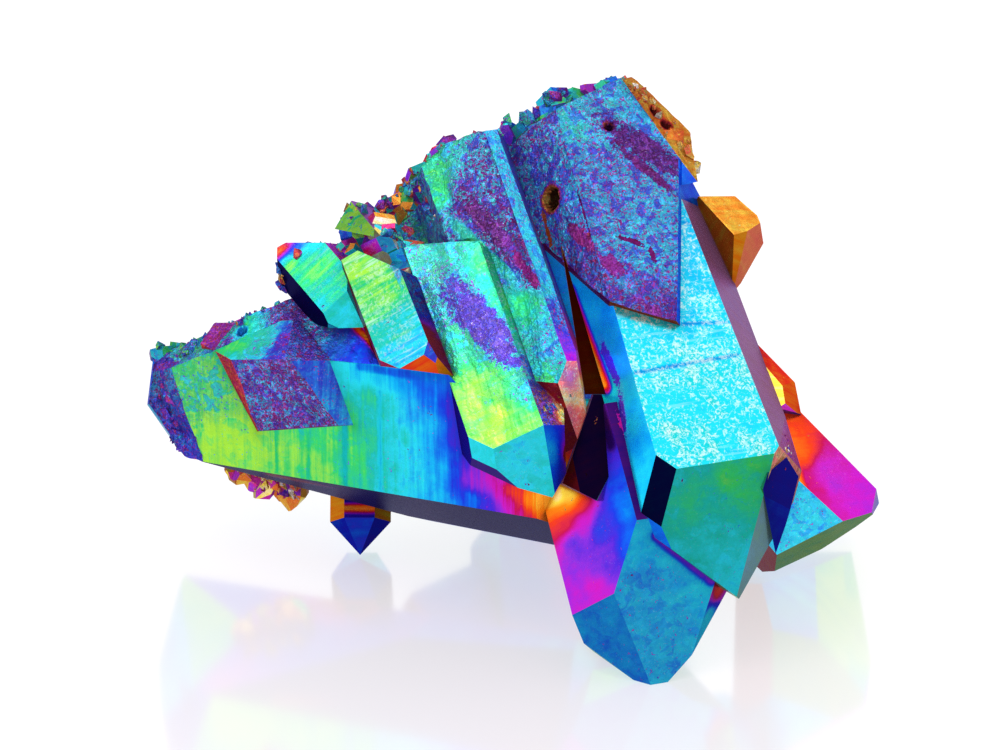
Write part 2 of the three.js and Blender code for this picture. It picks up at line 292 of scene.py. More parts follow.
MAIN_FACES = (
    CrystalFace("main front", TWIN, (
        (22.9, -10.3, 41.3, .73, 0), (26.2, -19.8, 32.2, .76, 0), (17.9, -16.2, 37.2, .75, 0),
        (22.1, -4.8, 46.3, .71, 0), (22.6, -20.4, 32.5, .77, 0)), lines=0.15, flecks=1.0, streaks=(
            Streak((20.7, -13.1, 39.3), (27.2, -11.6, 38.8), 0.4, .66, 0, .8, soft=True),
            Streak((14.8, -19.1, 35.4), (27.3, -15.1, 36.1), 0.4, .66, 0, .75, soft=True),
            Streak((21.2, -2.6, 48.4), (24.0, -2.0, 47.6), 0.4, .66, 0, .85, soft=True))),
    CrystalFace("main top", TWIN, ((21.7, 2.5, 52.8, .58, .1),), lines=0.2),
    CrystalFace("main left", TWIN, (
        (12.3, -15.2, 36.8, .70, 0), (9.7, -9.4, 40.9, .69, 0), (15.4, -21.6, 32.9, .71, 0),
        (14.8, -22.8, 29.6, .70, 0), (16.2, -27.6, 24.6, .70, 0)), lines=0.1, shade=1.5, streaks=(
            Streak((10.9, -13.1, 37.2), (13.0, -18.4, 33.4), 0.9, .47, .3),
            Streak((13.0, -18.4, 33.4), (13.6, -22.2, 28.3), 0.8, .46, .4, .8),
            Streak((7.4, -6.6, 41.0), (11.6, -17.0, 32.6), 1.1, .22, soft=True),
            Streak((7.2, -6.4, 40.6), (11.2, -16.6, 32.8), 0.7, .08, soft=True))),
    CrystalFace("main left upper", TWIN, ((6.3, -4.8, 41.2, .68, .1),), lines=0.1, shade=1.3),
    CrystalFace("main crevice", TWIN, ((9.2, -3.8, 32.9, .16, 0), (11.6, -7.8, 28.8, .14, 0)), shade=0.12),
    CrystalFace("main bevel", TWIN, ((17.5, -28.1, 24.2, .52, 0),), shade=0.03),
    CrystalFace("main point", TWIN, (
        (21.2, -27.9, 22.9, .84, .1), (26.5, -26.1, 24.6, .89, .1), (24.2, -27.8, 18.9, .79, .1),
        (22.5, -28.9, 15.5, .80, .1), (26.7, -28.1, 13.2, .77, .1), (21.2, -27.3, 26.4, .82, .1)),
        shade=0.5, lines=0.1),
    CrystalFace("main point left", TWIN, ((17.1, -29.0, 19.7, .60, 0),), shade=0.7),
    CrystalFace("main point right", TWIN, ((29.6, -25.1, 16.4, .82, 0),), shade=0.5, veil=0.4),
    CrystalFace("main side", TWIN, ((31.2, -7.6, 31.1, .28, .1), (27.7, -2.1, 38.2, .33, .1)), veil=0.6,
                shade=0.62, lines=0.6),
    CrystalFace("main break", TWIN, ((33.5, -17.2, 25.4, .32, .4),), shade=0.8, veil=0.3),
    CrystalFace("main chip", TWIN, ((32.5, -21.8, 25.4, .12, .6),), shade=0.9, veil=0.3),
    CrystalFace("foot left", FOOT, (
        (8.4, -22.7, 19.7, .17, 0), (5.9, -19.9, 19.5, .02, 0), (7.5, -21.3, 20.3, .05, 0),
        (6.1, -21.0, 18.2, .12, 0), (6.4, -21.8, 17.3, .22, 0), (8.8, -23.9, 18.2, .33, 0),
        (7.8, -24.4, 15.4, .41, .1), (10.7, -26.1, 18.2, .52, .1), (13.3, -26.9, 21.8, .60, 0),
        (11.3, -28.3, 15.3, .42, .1), (7.8, -27.0, 10.7, .35, 0), (10.7, -29.6, 11.7, .31, 0),
        (13.9, -29.5, 18.4, .56, 0), (12.2, -22.5, 27.5, .45, 0), (13.0, -25.3, 24.3, .52, 0)),
        lines=0.1, streaks=(Streak((10.6, -18.8, 31.4), (12.0, -22.4, 27.6), 1.3, .40, 0, .15, soft=True),)),
    CrystalFace("foot point left", FOOT, ((12.0, -29.7, 5.4, .64, .1),), shade=0.42, lines=0.1),
    CrystalFace("foot point", FOOT, (
        (20.3, -28.8, 7.6, .70, .2), (16.5, -29.0, 17.6, .70, .1), (15.4, -30.0, 12.2, .68, .2),
        (17.3, -30.3, 3.1, .70, .2), (23.3, -27.5, 9.7, .71, .1)), lines=0.1, shade=0.52, streaks=(
            Streak((17.4, -28.6, 18.6), (24.0, -26.8, 12.0), 1.1, .40, soft=True),
            Streak((17.9, -28.4, 19.3), (24.8, -26.6, 12.5), 0.7, .14, 0, 1.4, soft=True))),
    CrystalFace("foot point right", FOOT, (
        (24.0, -25.8, 6.8, .76, 0), (25.0, -25.0, 9.5, .15, 0)), shade=0.6),
    CrystalFace("foot top", FOOT, ((13.3, -22.4, 28.1, .40, 0),), shade=0.22, streaks=(
        Streak((12.6, -19.6, 31.4), (14.2, -22.8, 27.9), 0.5, .27, 0, 4.5),
        Streak((13.4, -21.0, 29.8), (14.6, -24.0, 26.6), 0.35, .02, 0, 4.5))),
    CrystalFace("hinge top", TWIN, ((32.3, -22.5, 22.6, .48, 0),), shade=0.2),
    CrystalFace("hinge front", TWIN, ((31.8, -22.5, 17.9, .54, 0),), shade=0.25),
    CrystalFace("ember top", TWIN, ((32.7, -4.3, 30.1, .17, .1),)),
    CrystalFace("ember front", TWIN, ((32.8, -6.9, 28.5, .05, 0),)),
    CrystalFace("ember right", TWIN, ((34.7, -5.2, 26.7, .14, 0),), shade=0.7),
    CrystalFace("fan top", FAN, (
        (39.4, -8.9, 18.2, .32, .1), (35.3, -5.4, 23.6, .17, .0), (35.8, -8.5, 20.9, .15, 0),
        (37.0, -12.4, 17.2, .26, 0), (44.0, -8.6, 15.5, .33, 0)), lines=0.1, shade=0.9, streaks=(
            Streak((33.4, -7.6, 22.6), (36.0, -14.2, 15.6), 1.4, .10, soft=True),)),
    CrystalFace("fan front", FAN, ((36.2, -13.6, 13.9, .73, .3),), lines=0.1),
    CrystalFace("fan underside", FAN, ((42.4, -7.8, 9.8, .99, .1),), shade=0.4, veil=0.1, lines=0.1),
    CrystalFace("fan under left", FAN, ((32.3, -8.3, 5.8, .15, 0),), shade=0.3),
    CrystalFace("golden left", TWIN, ((25.9, 4.1, 44.4, .11, .2),), shade=0.4),
    CrystalFace("golden top", TWIN, ((27.5, 5.4, 47.0, .09, .2),), shade=0.82, ragged=0.05),
    CrystalFace("golden lower", TWIN, ((28.1, 2.0, 43.0, .11, 0),), shade=0.4),
    CrystalFace("golden right", TWIN, ((29.8, 4.2, 42.3, .12, .1),), shade=0.6, veil=0.2),
    CrystalFace("summit front", TWIN, (
        (19.3, 8.7, 57.5, .10, .3), (21.0, 4.8, 54.6, .09, .3), (16.3, 11.7, 60.8, .10, .4)), shade=0.6,
        ragged=0.3, skin=Skin.BROKEN),
    CrystalFace("layer front", TWIN, (
        (15.7, -8.2, 46.3, .74, .6), (17.4, -13.8, 41.1, .62, .8), (11.9, -6.8, 48.3, .72, .7),
        (18.5, -3.6, 49.7, .72, .6), (11.4, 0.4, 54.8, .70, .7), (9.9, 5.8, 59.8, .74, .7),
        (13.9, 7.1, 60.1, .76, .6), (12.4, -10.4, 44.6, .66, .8), (16.1, 7.1, 59.6, .70, .5),
        (8.1, 4.6, 59.2, .80, .5)),
        ragged=0.26, lines=0.3, shade=0.92, skin=Skin.BROKEN, streaks=(
            Streak((11.4, 5.6, 59.0), (21.8, 1.4, 52.6), 2.6, .40, .9, .62),
            Streak((12.2, 3.6, 57.5), (21.2, -1.4, 50.2), 1.1, .36, .8, .5),
            Streak((21.0, 1.6, 52.6), (21.9, 0.2, 51.4), 1.0, .56, 0),
            Streak((6.0, -9.0, 44.6), (21.6, -14.9, 39.6), 1.3, .37, .75, .85),
            Streak((10.7, -8.6, 47.0), (14.0, -11.2, 44.0), 1.5, .34, .6, .7),
            Streak((12.4, -6.8, 48.3), (16.8, -7.2, 46.9), 0.55, .30, .3, .3),
            Streak((16.8, -7.2, 46.9), (17.6, -8.7, 45.4), 0.55, .30, .3, .3))),
    CrystalFace("layer left", TWIN, (
        (6.0, -2.2, 48.3, .72, .7), (3.8, 3.8, 53.6, .76, .7), (9.2, -8.6, 44.8, .66, .8),
        (2.6, 6.7, 55.9, .74, .8), (8.0, -2.2, 52.8, .72, .6)), ragged=0.3, lines=0.1,
        skin=Skin.BROKEN, streaks=(
            Streak((4.2, -4.0, 44.6), (10.9, -12.4, 41.9), 1.1, .36, .7, .85),
            Streak((6.9, -3.4, 48.5), (10.7, -8.6, 47.0), 1.3, .30, .6, .75),
            Streak((3.6, 0.6, 48.9), (5.0, -3.4, 45.0), 0.8, .14, .2, .55),
            Streak((8.0, -2.2, 52.8), (9.6, -6.8, 48.6), 0.4, .30, .2, .25))),
    CrystalFace("layer under step", TWIN, ((9.7, -9.3, 42.4, .3, .3),), shade=0.3),
    CrystalFace("layer right step", TWIN, ((20.7, -3.3, 48.6, .62, .2), (22.3, 5.4, 50.5, .56, 0))),
    CrystalFace("layer lower step", TWIN, ((16.0, -13.6, 40.8, .15, .4),), shade=0.6),
)

MIDDLE_FACES = (
    CrystalFace("centre front", MIDDLE, (
        (-4.7, -11.0, 40.9, .78, .7), (-5.9, -6.5, 46.0, .84, .4), (-3.5, -8.1, 45.6, .89, .05),
        (-7.7, -8.2, 42.4, .84, .6), (-1.1, -15.1, 38.0, .80, .7), (-6.5, -13.0, 36.9, .89, .3),
        (-4.7, -17.5, 32.3, .96, .05), (-1.1, -21.0, 30.1, .97, 0), (1.3, -21.9, 30.5, .95, 0),
        (-1.1, -17.9, 34.2, .92, .2), (2.0, -20.1, 33.4, .86, .4), (-1.7, -11.8, 41.8, .88, .1)),
        lines=0.3, ragged=0.1, flecks=0.12, streaks=(
            Streak((-8.0, -7.8, 43.0), (1.6, -17.8, 35.4), 3.2, .48, .75, 1.0),)),
    CrystalFace("centre ridge", MIDDLE, (
        (-2.5, -7.2, 46.2, .88, .1), (-1.1, -10.7, 42.7, .89, .1), (1.3, -15.1, 38.0, .86, .4),
        (1.9, -17.7, 35.8, .80, .7), (4.3, -21.6, 31.4, .60, .9), (6.4, -20.1, 30.7, .03, .6)),
        ragged=0.08, lines=0.3, flecks=0.5),
    CrystalFace("centre bevel", MIDDLE, ((-3.0, -21.9, 25.6, .77, .1),), shade=0.85, lines=0.1),
    CrystalFace("centre point", MIDDLE, ((2.4, -23.3, 25.3, .78, .15), (6.0, -22.5, 25.0, .76, .1)),
                shade=0.72, lines=0.1),
    CrystalFace("centre point right", MIDDLE, (
        (5.5, -22.8, 26.8, .76, .1), (6.6, -21.9, 26.7, .21, 0)), shade=0.55, lines=0.1, streaks=(
            Streak((7.0, -21.6, 27.6), (6.8, -22.0, 25.0), 0.8, .20, 0, .6),)),
    CrystalFace("centre underside", MIDDLE, ((-2.4, -21.6, 23.9, .48, 0),), shade=0.3, veil=0.3),
    CrystalFace("centre left", MIDDLE, ((-5.8, -17.4, 27.1, .46, 0),), shade=0.4),
    CrystalFace("companion right", MIDDLE, (
        (6.6, -19.6, 32.1, .02, .5), (7.8, -18.7, 31.7, .01, .5), (8.4, -17.8, 33.9, .04, .4),
        (7.2, -19.3, 30.7, .28, .3), (7.6, -18.4, 34.2, .34, .1)), veil=0.25, shade=2.6, flecks=0.4),
    CrystalFace("companion side", MIDDLE, ((8.8, -17.4, 31.8, .03, .5), (8.1, -15.8, 36.7, .36, 0)),
                veil=0.2, shade=2.0),
    CrystalFace("companion under", MIDDLE, ((7.2, -19.4, 29.5, .21, .2),), shade=0.4),
    CrystalFace("wedge foot", MIDDLE, ((7.3, -22.0, 23.3, .2, 0),), shade=0.1),
    # Painted shade: this face is painted nearly black, and its streak is a painted glint on it.
    CrystalFace("dark front", TWIN, ((9.7, -21.5, 26.4, .4, 0),), shade=0.02, streaks=(
        Streak((10.4, -19.6, 30.8), (9.8, -20.6, 28.6), 0.45, .08, .8, 16.0),)),
    CrystalFace("behind front", MIDDLE, (
        (2.3, -10.6, 44.2, .74, .8), (-7.2, 3.1, 55.8, .84, .5), (-9.7, 3.0, 53.9, .89, .3),
        (-3.5, 0.8, 55.3, .76, .8), (-6.2, -2.1, 49.6, .74, .9), (-1.1, -5.8, 48.2, .74, .9),
        (1.3, -11.9, 41.9, .88, .1), (3.6, -18.8, 34.3, .86, .3), (5.8, -17.0, 38.1, .76, .5),
        (-4.6, -0.6, 52.6, .74, .8), (-8.4, 0.1, 51.0, .90, .2), (-7.2, -3.1, 47.6, .80, .7),
        (0.7, -7.8, 46.8, .66, .9)),
        ragged=0.38, lines=0.15, skin=Skin.BROKEN, streaks=(
            Streak((-6.8, 0.0, 52.3), (2.6, -10.2, 44.8), 1.6, .39, 1.0, .9),
            Streak((-4.4, 0.8, 53.8), (1.6, -6.4, 48.4), 0.8, .35, .7, .6),
            Streak((-7.6, -2.0, 49.0), (0.8, -10.4, 43.6), 1.1, .84, .3, 1.0),
            Streak((-1.0, -6.0, 48.3), (4.2, -13.0, 42.6), 0.9, .31, .5, .5))),
    CrystalFace("behind side", MIDDLE, (
        (4.3, -10.5, 43.9, .77, .4), (1.3, -3.3, 50.9, .77, .5), (6.4, -13.9, 40.1, .66, .7),
        (6.0, -16.7, 38.6, .38, .3), (7.8, -17.8, 36.5, .34, 0), (2.3, -6.8, 47.9, .76, .4)), ragged=0.1,
        lines=0.15, shade=1.3, skin=Skin.BROKEN),
    CrystalFace("behind crack", MIDDLE, (
        (4.3, -7.6, 45.1, .72, .7), (5.6, -9.0, 42.1, .66, .7), (7.3, -13.1, 38.5, .30, .4),
        (5.2, -3.0, 42.4, .5, .4)), shade=0.9, ragged=0.08, skin=Skin.BROKEN, streaks=(
            Streak((2.6, 1.0, 48.5), (4.6, -3.6, 44.4), 0.7, .15, 0, .5),)),
    CrystalFace("behind left", MIDDLE, ((-9.8, 3.4, 47.3, .78, .7),), shade=0.9, ragged=0.2,
                skin=Skin.BROKEN),
    CrystalFace("core front", TWIN, ((-11.8, 7.9, 43.8, .84, .6),), shade=0.8, ragged=0.25,
                skin=Skin.BROKEN),
    CrystalFace("second front", SECOND, (
        (-15.5, -9.9, 42.4, .94, .1), (-18.2, -6.1, 45.9, .97, .1), (-13.7, -13.2, 38.8, .82, .1),
        (-12.4, -15.3, 36.5, .73, .1), (-11.2, -15.3, 37.8, .75, .1)), lines=1.0, flecks=0.45, streaks=(
            Streak((-14.6, -6.6, 47.4), (-12.6, -10.8, 43.6), 1.2, .72, .8),)),
    CrystalFace("second right", SECOND, (
        (-11.6, -12.4, 42.1, .70, .7), (-9.8, -15.1, 38.6, .20, .1)),
        shade=0.55),
    CrystalFace("second tip", SECOND, ((-10.6, -16.5, 35.7, .16, 0),), shade=0.6),
    CrystalFace("second tip right", SECOND, ((-8.2, -16.4, 35.7, .12, 0),), shade=0.5),
    CrystalFace("second bevel", SECOND, ((-14.0, -15.0, 33.5, .14, 0),), shade=0.6),
    CrystalFace("second left", SECOND, ((-17.7, -9.5, 38.9, .18, 0),), shade=0.25, streaks=(
        Streak((-17.0, -11.4, 35.6), (-15.6, -12.6, 34.0), 0.8, .10, 0, 4.0, soft=True),)),
    CrystalFace("third front", THIRD, (
        (-24.3, -2.4, 42.2, .90, .1), (-27.2, -0.7, 42.6, .97, .1), (-22.4, -4.8, 40.2, .86, .1),
        (-28.2, 0.4, 43.6, .08, .2)), lines=0.9, flecks=0.1, shade=0.7),
    CrystalFace("third point", THIRD, ((-20.2, -6.1, 38.0, .78, .1), (-20.8, -5.9, 39.6, .82, .1)),
                lines=0.6, shade=0.85),
    CrystalFace("third right", THIRD, ((-19.2, -5.6, 39.9, .74, .2),), shade=0.7),
    CrystalFace("third left", THIRD, ((-25.6, -2.0, 38.7, .48, 0),), shade=0.1),
    CrystalFace("third top", THIRD, ((-21.1, -1.3, 44.4, .35, .5),), shade=0.8),
    CrystalFace("lemon left", TWIN, ((-19.0, 1.8, 47.1, .99, .3),), shade=0.62),
    CrystalFace("lemon right", TWIN, ((-18.0, 4.5, 47.8, .38, .2),), veil=0.45, shade=0.8),
)

BASE_FACES = (
    CrystalFace("base front", LYING, (
        (-23.3, -8.2, 17.4, .94, .1), (-37.7, -2.4, 25.0, .93, .4), (-35.7, -3.0, 19.9, 1.0, .1),
        (-30.6, -5.1, 18.8, .97, .1), (-20.4, -9.7, 24.1, .93, .1), (-18.3, -10.4, 19.0, .88, .1),
        (-17.9, -10.7, 23.2, .88, .1), (-16.7, -11.6, 29.5, .86, .1), (-15.1, -11.8, 19.6, .81, .1),
        (-14.7, -12.4, 27.8, .79, .1), (-13.2, -13.0, 28.1, .74, .1), (-11.8, -13.3, 21.6, .74, .1),
        (-12.1, -13.0, 18.9, .75, .1), (-11.4, -13.8, 28.4, .66, .1), (-9.5, -14.6, 30.1, .60, 0),
        (-9.3, -14.6, 26.1, .67, .05), (-8.4, -14.7, 20.9, .68, .05), (-8.4, -14.5, 16.8, .70, .05),
        (-7.3, -15.6, 29.8, .48, 0), (-6.4, -15.7, 25.3, .48, 0), (-6.5, -15.5, 21.3, .52, 0),
        (-4.7, -16.2, 20.3, .36, 0), (-4.7, -16.1, 17.6, .60, 0), (-2.3, -17.1, 17.4, .46, 0),
        (-2.1, -17.4, 21.0, .30, 0), (0.1, -18.2, 17.8, .28, 0), (0.5, -18.4, 19.6, .17, 0),
        (2.3, -19.1, 19.2, .10, 0), (-13.1, -13.2, 31.4, .66, 0), (-16.6, -11.7, 31.6, .70, 0),
        (-10.1, -14.5, 32.0, .58, 0), (-14.0, -12.6, 24.6, .79, .1)), lines=0.6, shade=0.82, streaks=(
            Streak((-18.0, -11.2, 33.0), (-8.0, -15.4, 33.0), 0.8, .58, 0, .9, soft=True),
            Streak((-28.6, -6.0, 24.0), (-28.8, -5.7, 15.8), 0.4, .88, 0, .8, soft=True),
            Streak((-24.6, -7.7, 23.0), (-24.8, -7.4, 15.8), 0.4, .86, 0, .8, soft=True),
            Streak((-20.0, -9.9, 27.0), (-20.2, -9.5, 15.8), 0.5, .80, 0, .75, soft=True),
            Streak((-15.6, -11.9, 30.0), (-15.8, -11.4, 15.8), 0.5, .74, 0, .8, soft=True))),
    CrystalFace("base corner", LYING, ((4.3, -19.3, 18.3, .09, 0), (4.6, -19.1, 16.6, .15, 0))),
    CrystalFace("base strip", LYING, ((-20.4, -8.6, 14.0, .46, 0),), shade=0.1, veil=0.3, streaks=(
        Streak((-29.5, -4.6, 15.8), (-21.0, -7.6, 13.8), 1.6, .17, .3, 3.0, soft=True),)),
    CrystalFace("base end", LYING, (
        (-42.3, 0.5, 22.3, .60, .6), (-41.0, 0.0, 18.6, .54, .5), (-43.6, 1.0, 25.7, .70, .7)),
        ragged=0.5, shade=0.7, skin=Skin.BROKEN),
    CrystalFace("base end top", LYING, ((-40.1, 1.7, 30.1, .95, .6), (-43.1, 0.5, 28.1, .5, .7)),
                ragged=0.4, skin=Skin.BROKEN),
    CrystalFace("base top", LYING, (
        (-20.0, -6.9, 34.8, .64, .3), (-33.2, -1.0, 33.8, .88, .1), (-27.0, -0.2, 35.9, .66, .9),
        (-34.9, -2.0, 32.9, .66, .8), (-24.0, -4.0, 35.0, .72, .7), (-17.6, -9.0, 34.5, .52, 0),
        (-18.6, -5.8, 35.8, .38, 0)), ragged=0.2, lines=0.3, skin=Skin.BROKEN, streaks=(
            Streak((-19.4, -4.4, 36.4), (-15.6, -10.4, 34.6), 0.8, .14, soft=True),)),
    CrystalFace("block front", LYING, (
        (-25.6, -8.6, 26.2, .70, .85), (-30.2, -7.1, 29.0, .70, .8), (-27.2, -9.1, 32.4, .66, .9)),
        ragged=0.3, lines=0.2, skin=Skin.BROKEN),
    CrystalFace("block middle", LYING, ((-23.2, -9.8, 31.3, .58, .3), (-21.2, -10.2, 26.9, .66, .3)),
                shade=0.7, ragged=0.08, lines=1.0),
    CrystalFace("block left", LYING, ((-33.7, -4.8, 28.3, .23, .5), (-31.9, -5.6, 25.0, .19, .4)),
                shade=0.95, ragged=0.12, skin=Skin.BROKEN),
    CrystalFace("block top", LYING, (
        (-30.3, -4.6, 33.5, .84, .35), (-33.2, -2.4, 33.0, .90, .1), (-27.4, -6.0, 34.2, .52, .6)),
        ragged=0.08),
    CrystalFace("block top right", LYING, ((-25.1, -6.6, 34.0, .62, .7),), ragged=0.1, skin=Skin.BROKEN),
    CrystalFace("block crumb", LYING, ((-36.3, 0.1, 32.8, .36, .6),), shade=0.8, ragged=0.15,
                skin=Skin.BROKEN),
    CrystalFace("little front", UPRIGHT, ((-19.3, 5.8, 7.1, .5, 0),), shade=0.25, streaks=(
        Streak((-21.4, 5.9, 6.5), (-17.2, 5.9, 6.5), 1.1, .10, 0, 3.0, soft=True),)),
    CrystalFace("little point", UPRIGHT, ((-19.2, 5.0, 3.9, .53, 0),), shade=0.4),
    CrystalFace("little point right", UPRIGHT, ((-17.3, 5.8, 3.2, .5, 0),), shade=0.2),
    CrystalFace("little point left", UPRIGHT, ((-21.5, 6.5, 2.9, .52, 0),), shade=0.4),
    CrystalFace("little right", UPRIGHT, ((-16.3, 6.4, 5.2, .1, 0),), shade=0.3),
    CrystalFace("little left", UPRIGHT, ((-22.7, 8.4, 6.0, .1, 0),), shade=0.5),
)

FACES = MAIN_FACES + MIDDLE_FACES + BASE_FACES


@dataclass(frozen=True)
class Pit:
    """A round hollow in the rough surface.

    Attributes:
        centre: Its middle.
        radius: Its radius.
        depth: How deep it goes.
        shade: Painted shade inside it, a factor on the brightness there.
        rim: The film round it.
    """

    centre: Place
    radius: float
    depth: float
    shade: float = 0.1
    rim: float = 0.2


PITS = (
    Pit((5.0, 0.2, 50.5), 1.5, 1.5, 0.03, 0.13),
    Pit((8.9, -7.2, 48.4), 0.7, 0.5),
    Pit((12.2, 4.9, 58.3), 0.7, 0.5),
    Pit((18.3, 9.6, 58.7), 0.9, 0.7),
    Pit((19.6, 8.6, 57.4), 0.8, 0.6),
    Pit((-33.0, -1.2, 33.8), 0.7, 0.4, 0.35, 0.62),
)


# ---------------------------------------------------------------- finishes
@dataclass(frozen=True)
class TitaniumFilm:
    """Titanium oxide laid on quartz from vapour.

    The film is a few hundred atoms thick and works like the colours of heated titanium: as it gets
    thicker it goes from straw through magenta, blue and cyan to green, and it mirrors like metal.

    Attributes:
        name: The material's name.
        stops: Film thickness from 0 to 1 with its colour.
        metallic: How much the film mirrors.
        grazing: Tint of its mirror image at a flat angle.
        roughness: Microscopic roughness of the face under it.
        drift_mm: Size of the patches where the film's thickness drifts.
        drift: How far it drifts there.
        speck_mm: Size of the specks where the film stayed half as thick.
        wrinkle_mm: Size of the folds in the broken quartz.
        fleck_mm: Size of the bright flecks.
        relief_mm: Height of the finest relief.
        glow: Strength of the painted glow, the light that the faces give off themselves to lift the dark
            parts.
    """

    name: str = "vapour_coated_crystal_face"
    stops: tuple[tuple[float, str], ...] = (
        (0.00, "#fff4ea"), (0.05, "#ffe04a"), (0.11, "#ff8c14"), (0.17, "#f2401a"), (0.23, "#c41450"),
        (0.31, "#c81ec0"), (0.38, "#8a2cd8"), (0.45, "#4a28d8"), (0.52, "#1c3ce0"), (0.60, "#0e72ee"),
        (0.68, "#10b4f4"), (0.75, "#22dcf0"), (0.82, "#14c4b4"), (0.90, "#34d86c"), (1.00, "#a4ea3c"))
    metallic: float = 0.95
    grazing: str = "#8c8ca4"
    roughness: float = 0.22
    drift_mm: float = 3.2
    drift: float = 0.10
    speck_mm: float = 0.42
    wrinkle_mm: float = 1.1
    fleck_mm: float = 0.42
    relief_mm: float = 0.02
    glow: float = 0.2

    def material(self) -> bpy.types.Material:
        """Builds the node material and returns it."""
        material = bpy.data.materials.new(self.name)
        material.use_nodes = True
        tree = material.node_tree
        tree.nodes.clear()
        place = add_node(tree, "ShaderNodeTexCoord").outputs["Object"]
        grown = add_node(tree, "ShaderNodeUVMap", {"uv_map": "growth"}).outputs["UV"]
        film = add_node(tree, "ShaderNodeAttribute", {"attribute_name": "film"}).outputs["Fac"]
        grain = add_node(tree, "ShaderNodeAttribute", {"attribute_name": "grain"}).outputs["Fac"]
        dress = add_node(tree, "ShaderNodeAttribute", {"attribute_name": "dress"})
        parts = add_node(tree, "ShaderNodeSeparateColor", links={"Color": dress.outputs["Color"]})
        shade, veil, lines = (parts.outputs[name] for name in ("Red", "Green", "Blue"))
        flecks = dress.outputs["Alpha"]
        vein = add_node(tree, "ShaderNodeAttribute", {"attribute_name": "vein"})
        veins = add_node(tree, "ShaderNodeSeparateColor", links={"Color": vein.outputs["Color"]})
        vein_near, vein_film, vein_shade = (veins.outputs[name] for name in ("Red", "Green", "Blue"))

        drift = self.noise(tree, place, self.drift_mm, 4.0)
        speck = self.noise(tree, place, self.speck_mm, 1.5, 1.2)
        blotch = self.noise(tree, place, self.speck_mm * 4, 2.0, 0.6)
        fold = self.noise(tree, place, self.wrinkle_mm, 3.0, 1.5)
        spark = self.noise(tree, place, self.fleck_mm, 2.0, 1.0)
        grit = self.noise(tree, place, self.fleck_mm / 2, 1.0)
        line = self.streaked(tree, grown, (1.5, 0.07), 5.0)
        stria = self.streaked(tree, grown, (1.3, 0.12), 2.0)

        # where the film's thickness comes from: face, drift, growth lines, blotches, specks
        room = calc(tree, "MULTIPLY", film, 2.2, clamp=True)
        value = calc(tree, "ADD", film, calc(tree, "MULTIPLY", calc(
            tree, "MULTIPLY", calc(tree, "SUBTRACT", drift, 0.5), room), 2 * self.drift))
        lined = calc(tree, "MULTIPLY", calc(tree, "SUBTRACT", line, 0.5), lines)
        value = calc(tree, "ADD", value, calc(tree, "MULTIPLY", lined, 0.4))
        shift = calc(tree, "MULTIPLY", calc(tree, "SUBTRACT", blotch, 0.5), grain)
        value = calc(tree, "ADD", value, calc(tree, "MULTIPLY", shift, 0.5), clamp=True)
        torn = calc(tree, "ADD", vein_near, calc(tree, "MULTIPLY", calc(
            tree, "SUBTRACT", calc(tree, "ADD", blotch, speck), 1.0), 1.3))
        in_vein = step_up(tree, torn, 0.46, 0.60)
        value = calc(tree, "ADD", value, calc(tree, "MULTIPLY", in_vein, calc(
            tree, "SUBTRACT", vein_film, value)), clamp=True)
        mauve = calc(tree, "MULTIPLY", step_up(tree, calc(
            tree, "ADD", blotch, calc(tree, "MULTIPLY", grain, 0.10)), 0.56, 0.64), grain)
        dense = calc(tree, "ADD", speck, calc(tree, "MULTIPLY", grain, 0.30))
        mask = step_up(tree, dense, 0.74, 0.79)
        thinner = calc(tree, "MAXIMUM", calc(tree, "MULTIPLY", mauve, 0.42), calc(
            tree, "MULTIPLY", mask, 0.56))
        thinner = calc(tree, "MULTIPLY", thinner, calc(tree, "SUBTRACT", 1.0, calc(
            tree, "MULTIPLY", in_vein, 0.75)))
        value = calc(tree, "MULTIPLY", value, calc(tree, "SUBTRACT", 1.0, thinner), clamp=True)

        ramp = add_node(tree, "ShaderNodeValToRGB", links={"Fac": value})
        self.fill(ramp.color_ramp)
        colour = blend(tree, veil, ramp.outputs["Color"], linear("#dcaac4"))
        colour = blend(tree, calc(tree, "MULTIPLY", grain, 0.34), colour, linear("#8a7c96"))
        cluster = calc(tree, "ADD", spark, calc(tree, "MULTIPLY", calc(tree, "SUBTRACT", drift, 0.5), 0.6))
        sparks = calc(tree, "MULTIPLY", step_up(tree, cluster, 0.50, 0.70), flecks)
        scratches = calc(tree, "MULTIPLY", step_up(tree, stria, 0.60, 0.66), calc(
            tree, "MULTIPLY", flecks, lines), clamp=True)
        white = calc(tree, "MAXIMUM", calc(tree, "MULTIPLY", sparks, 0.75), scratches, clamp=True)
        colour = blend(tree, white, colour, linear("#e8fffa"))
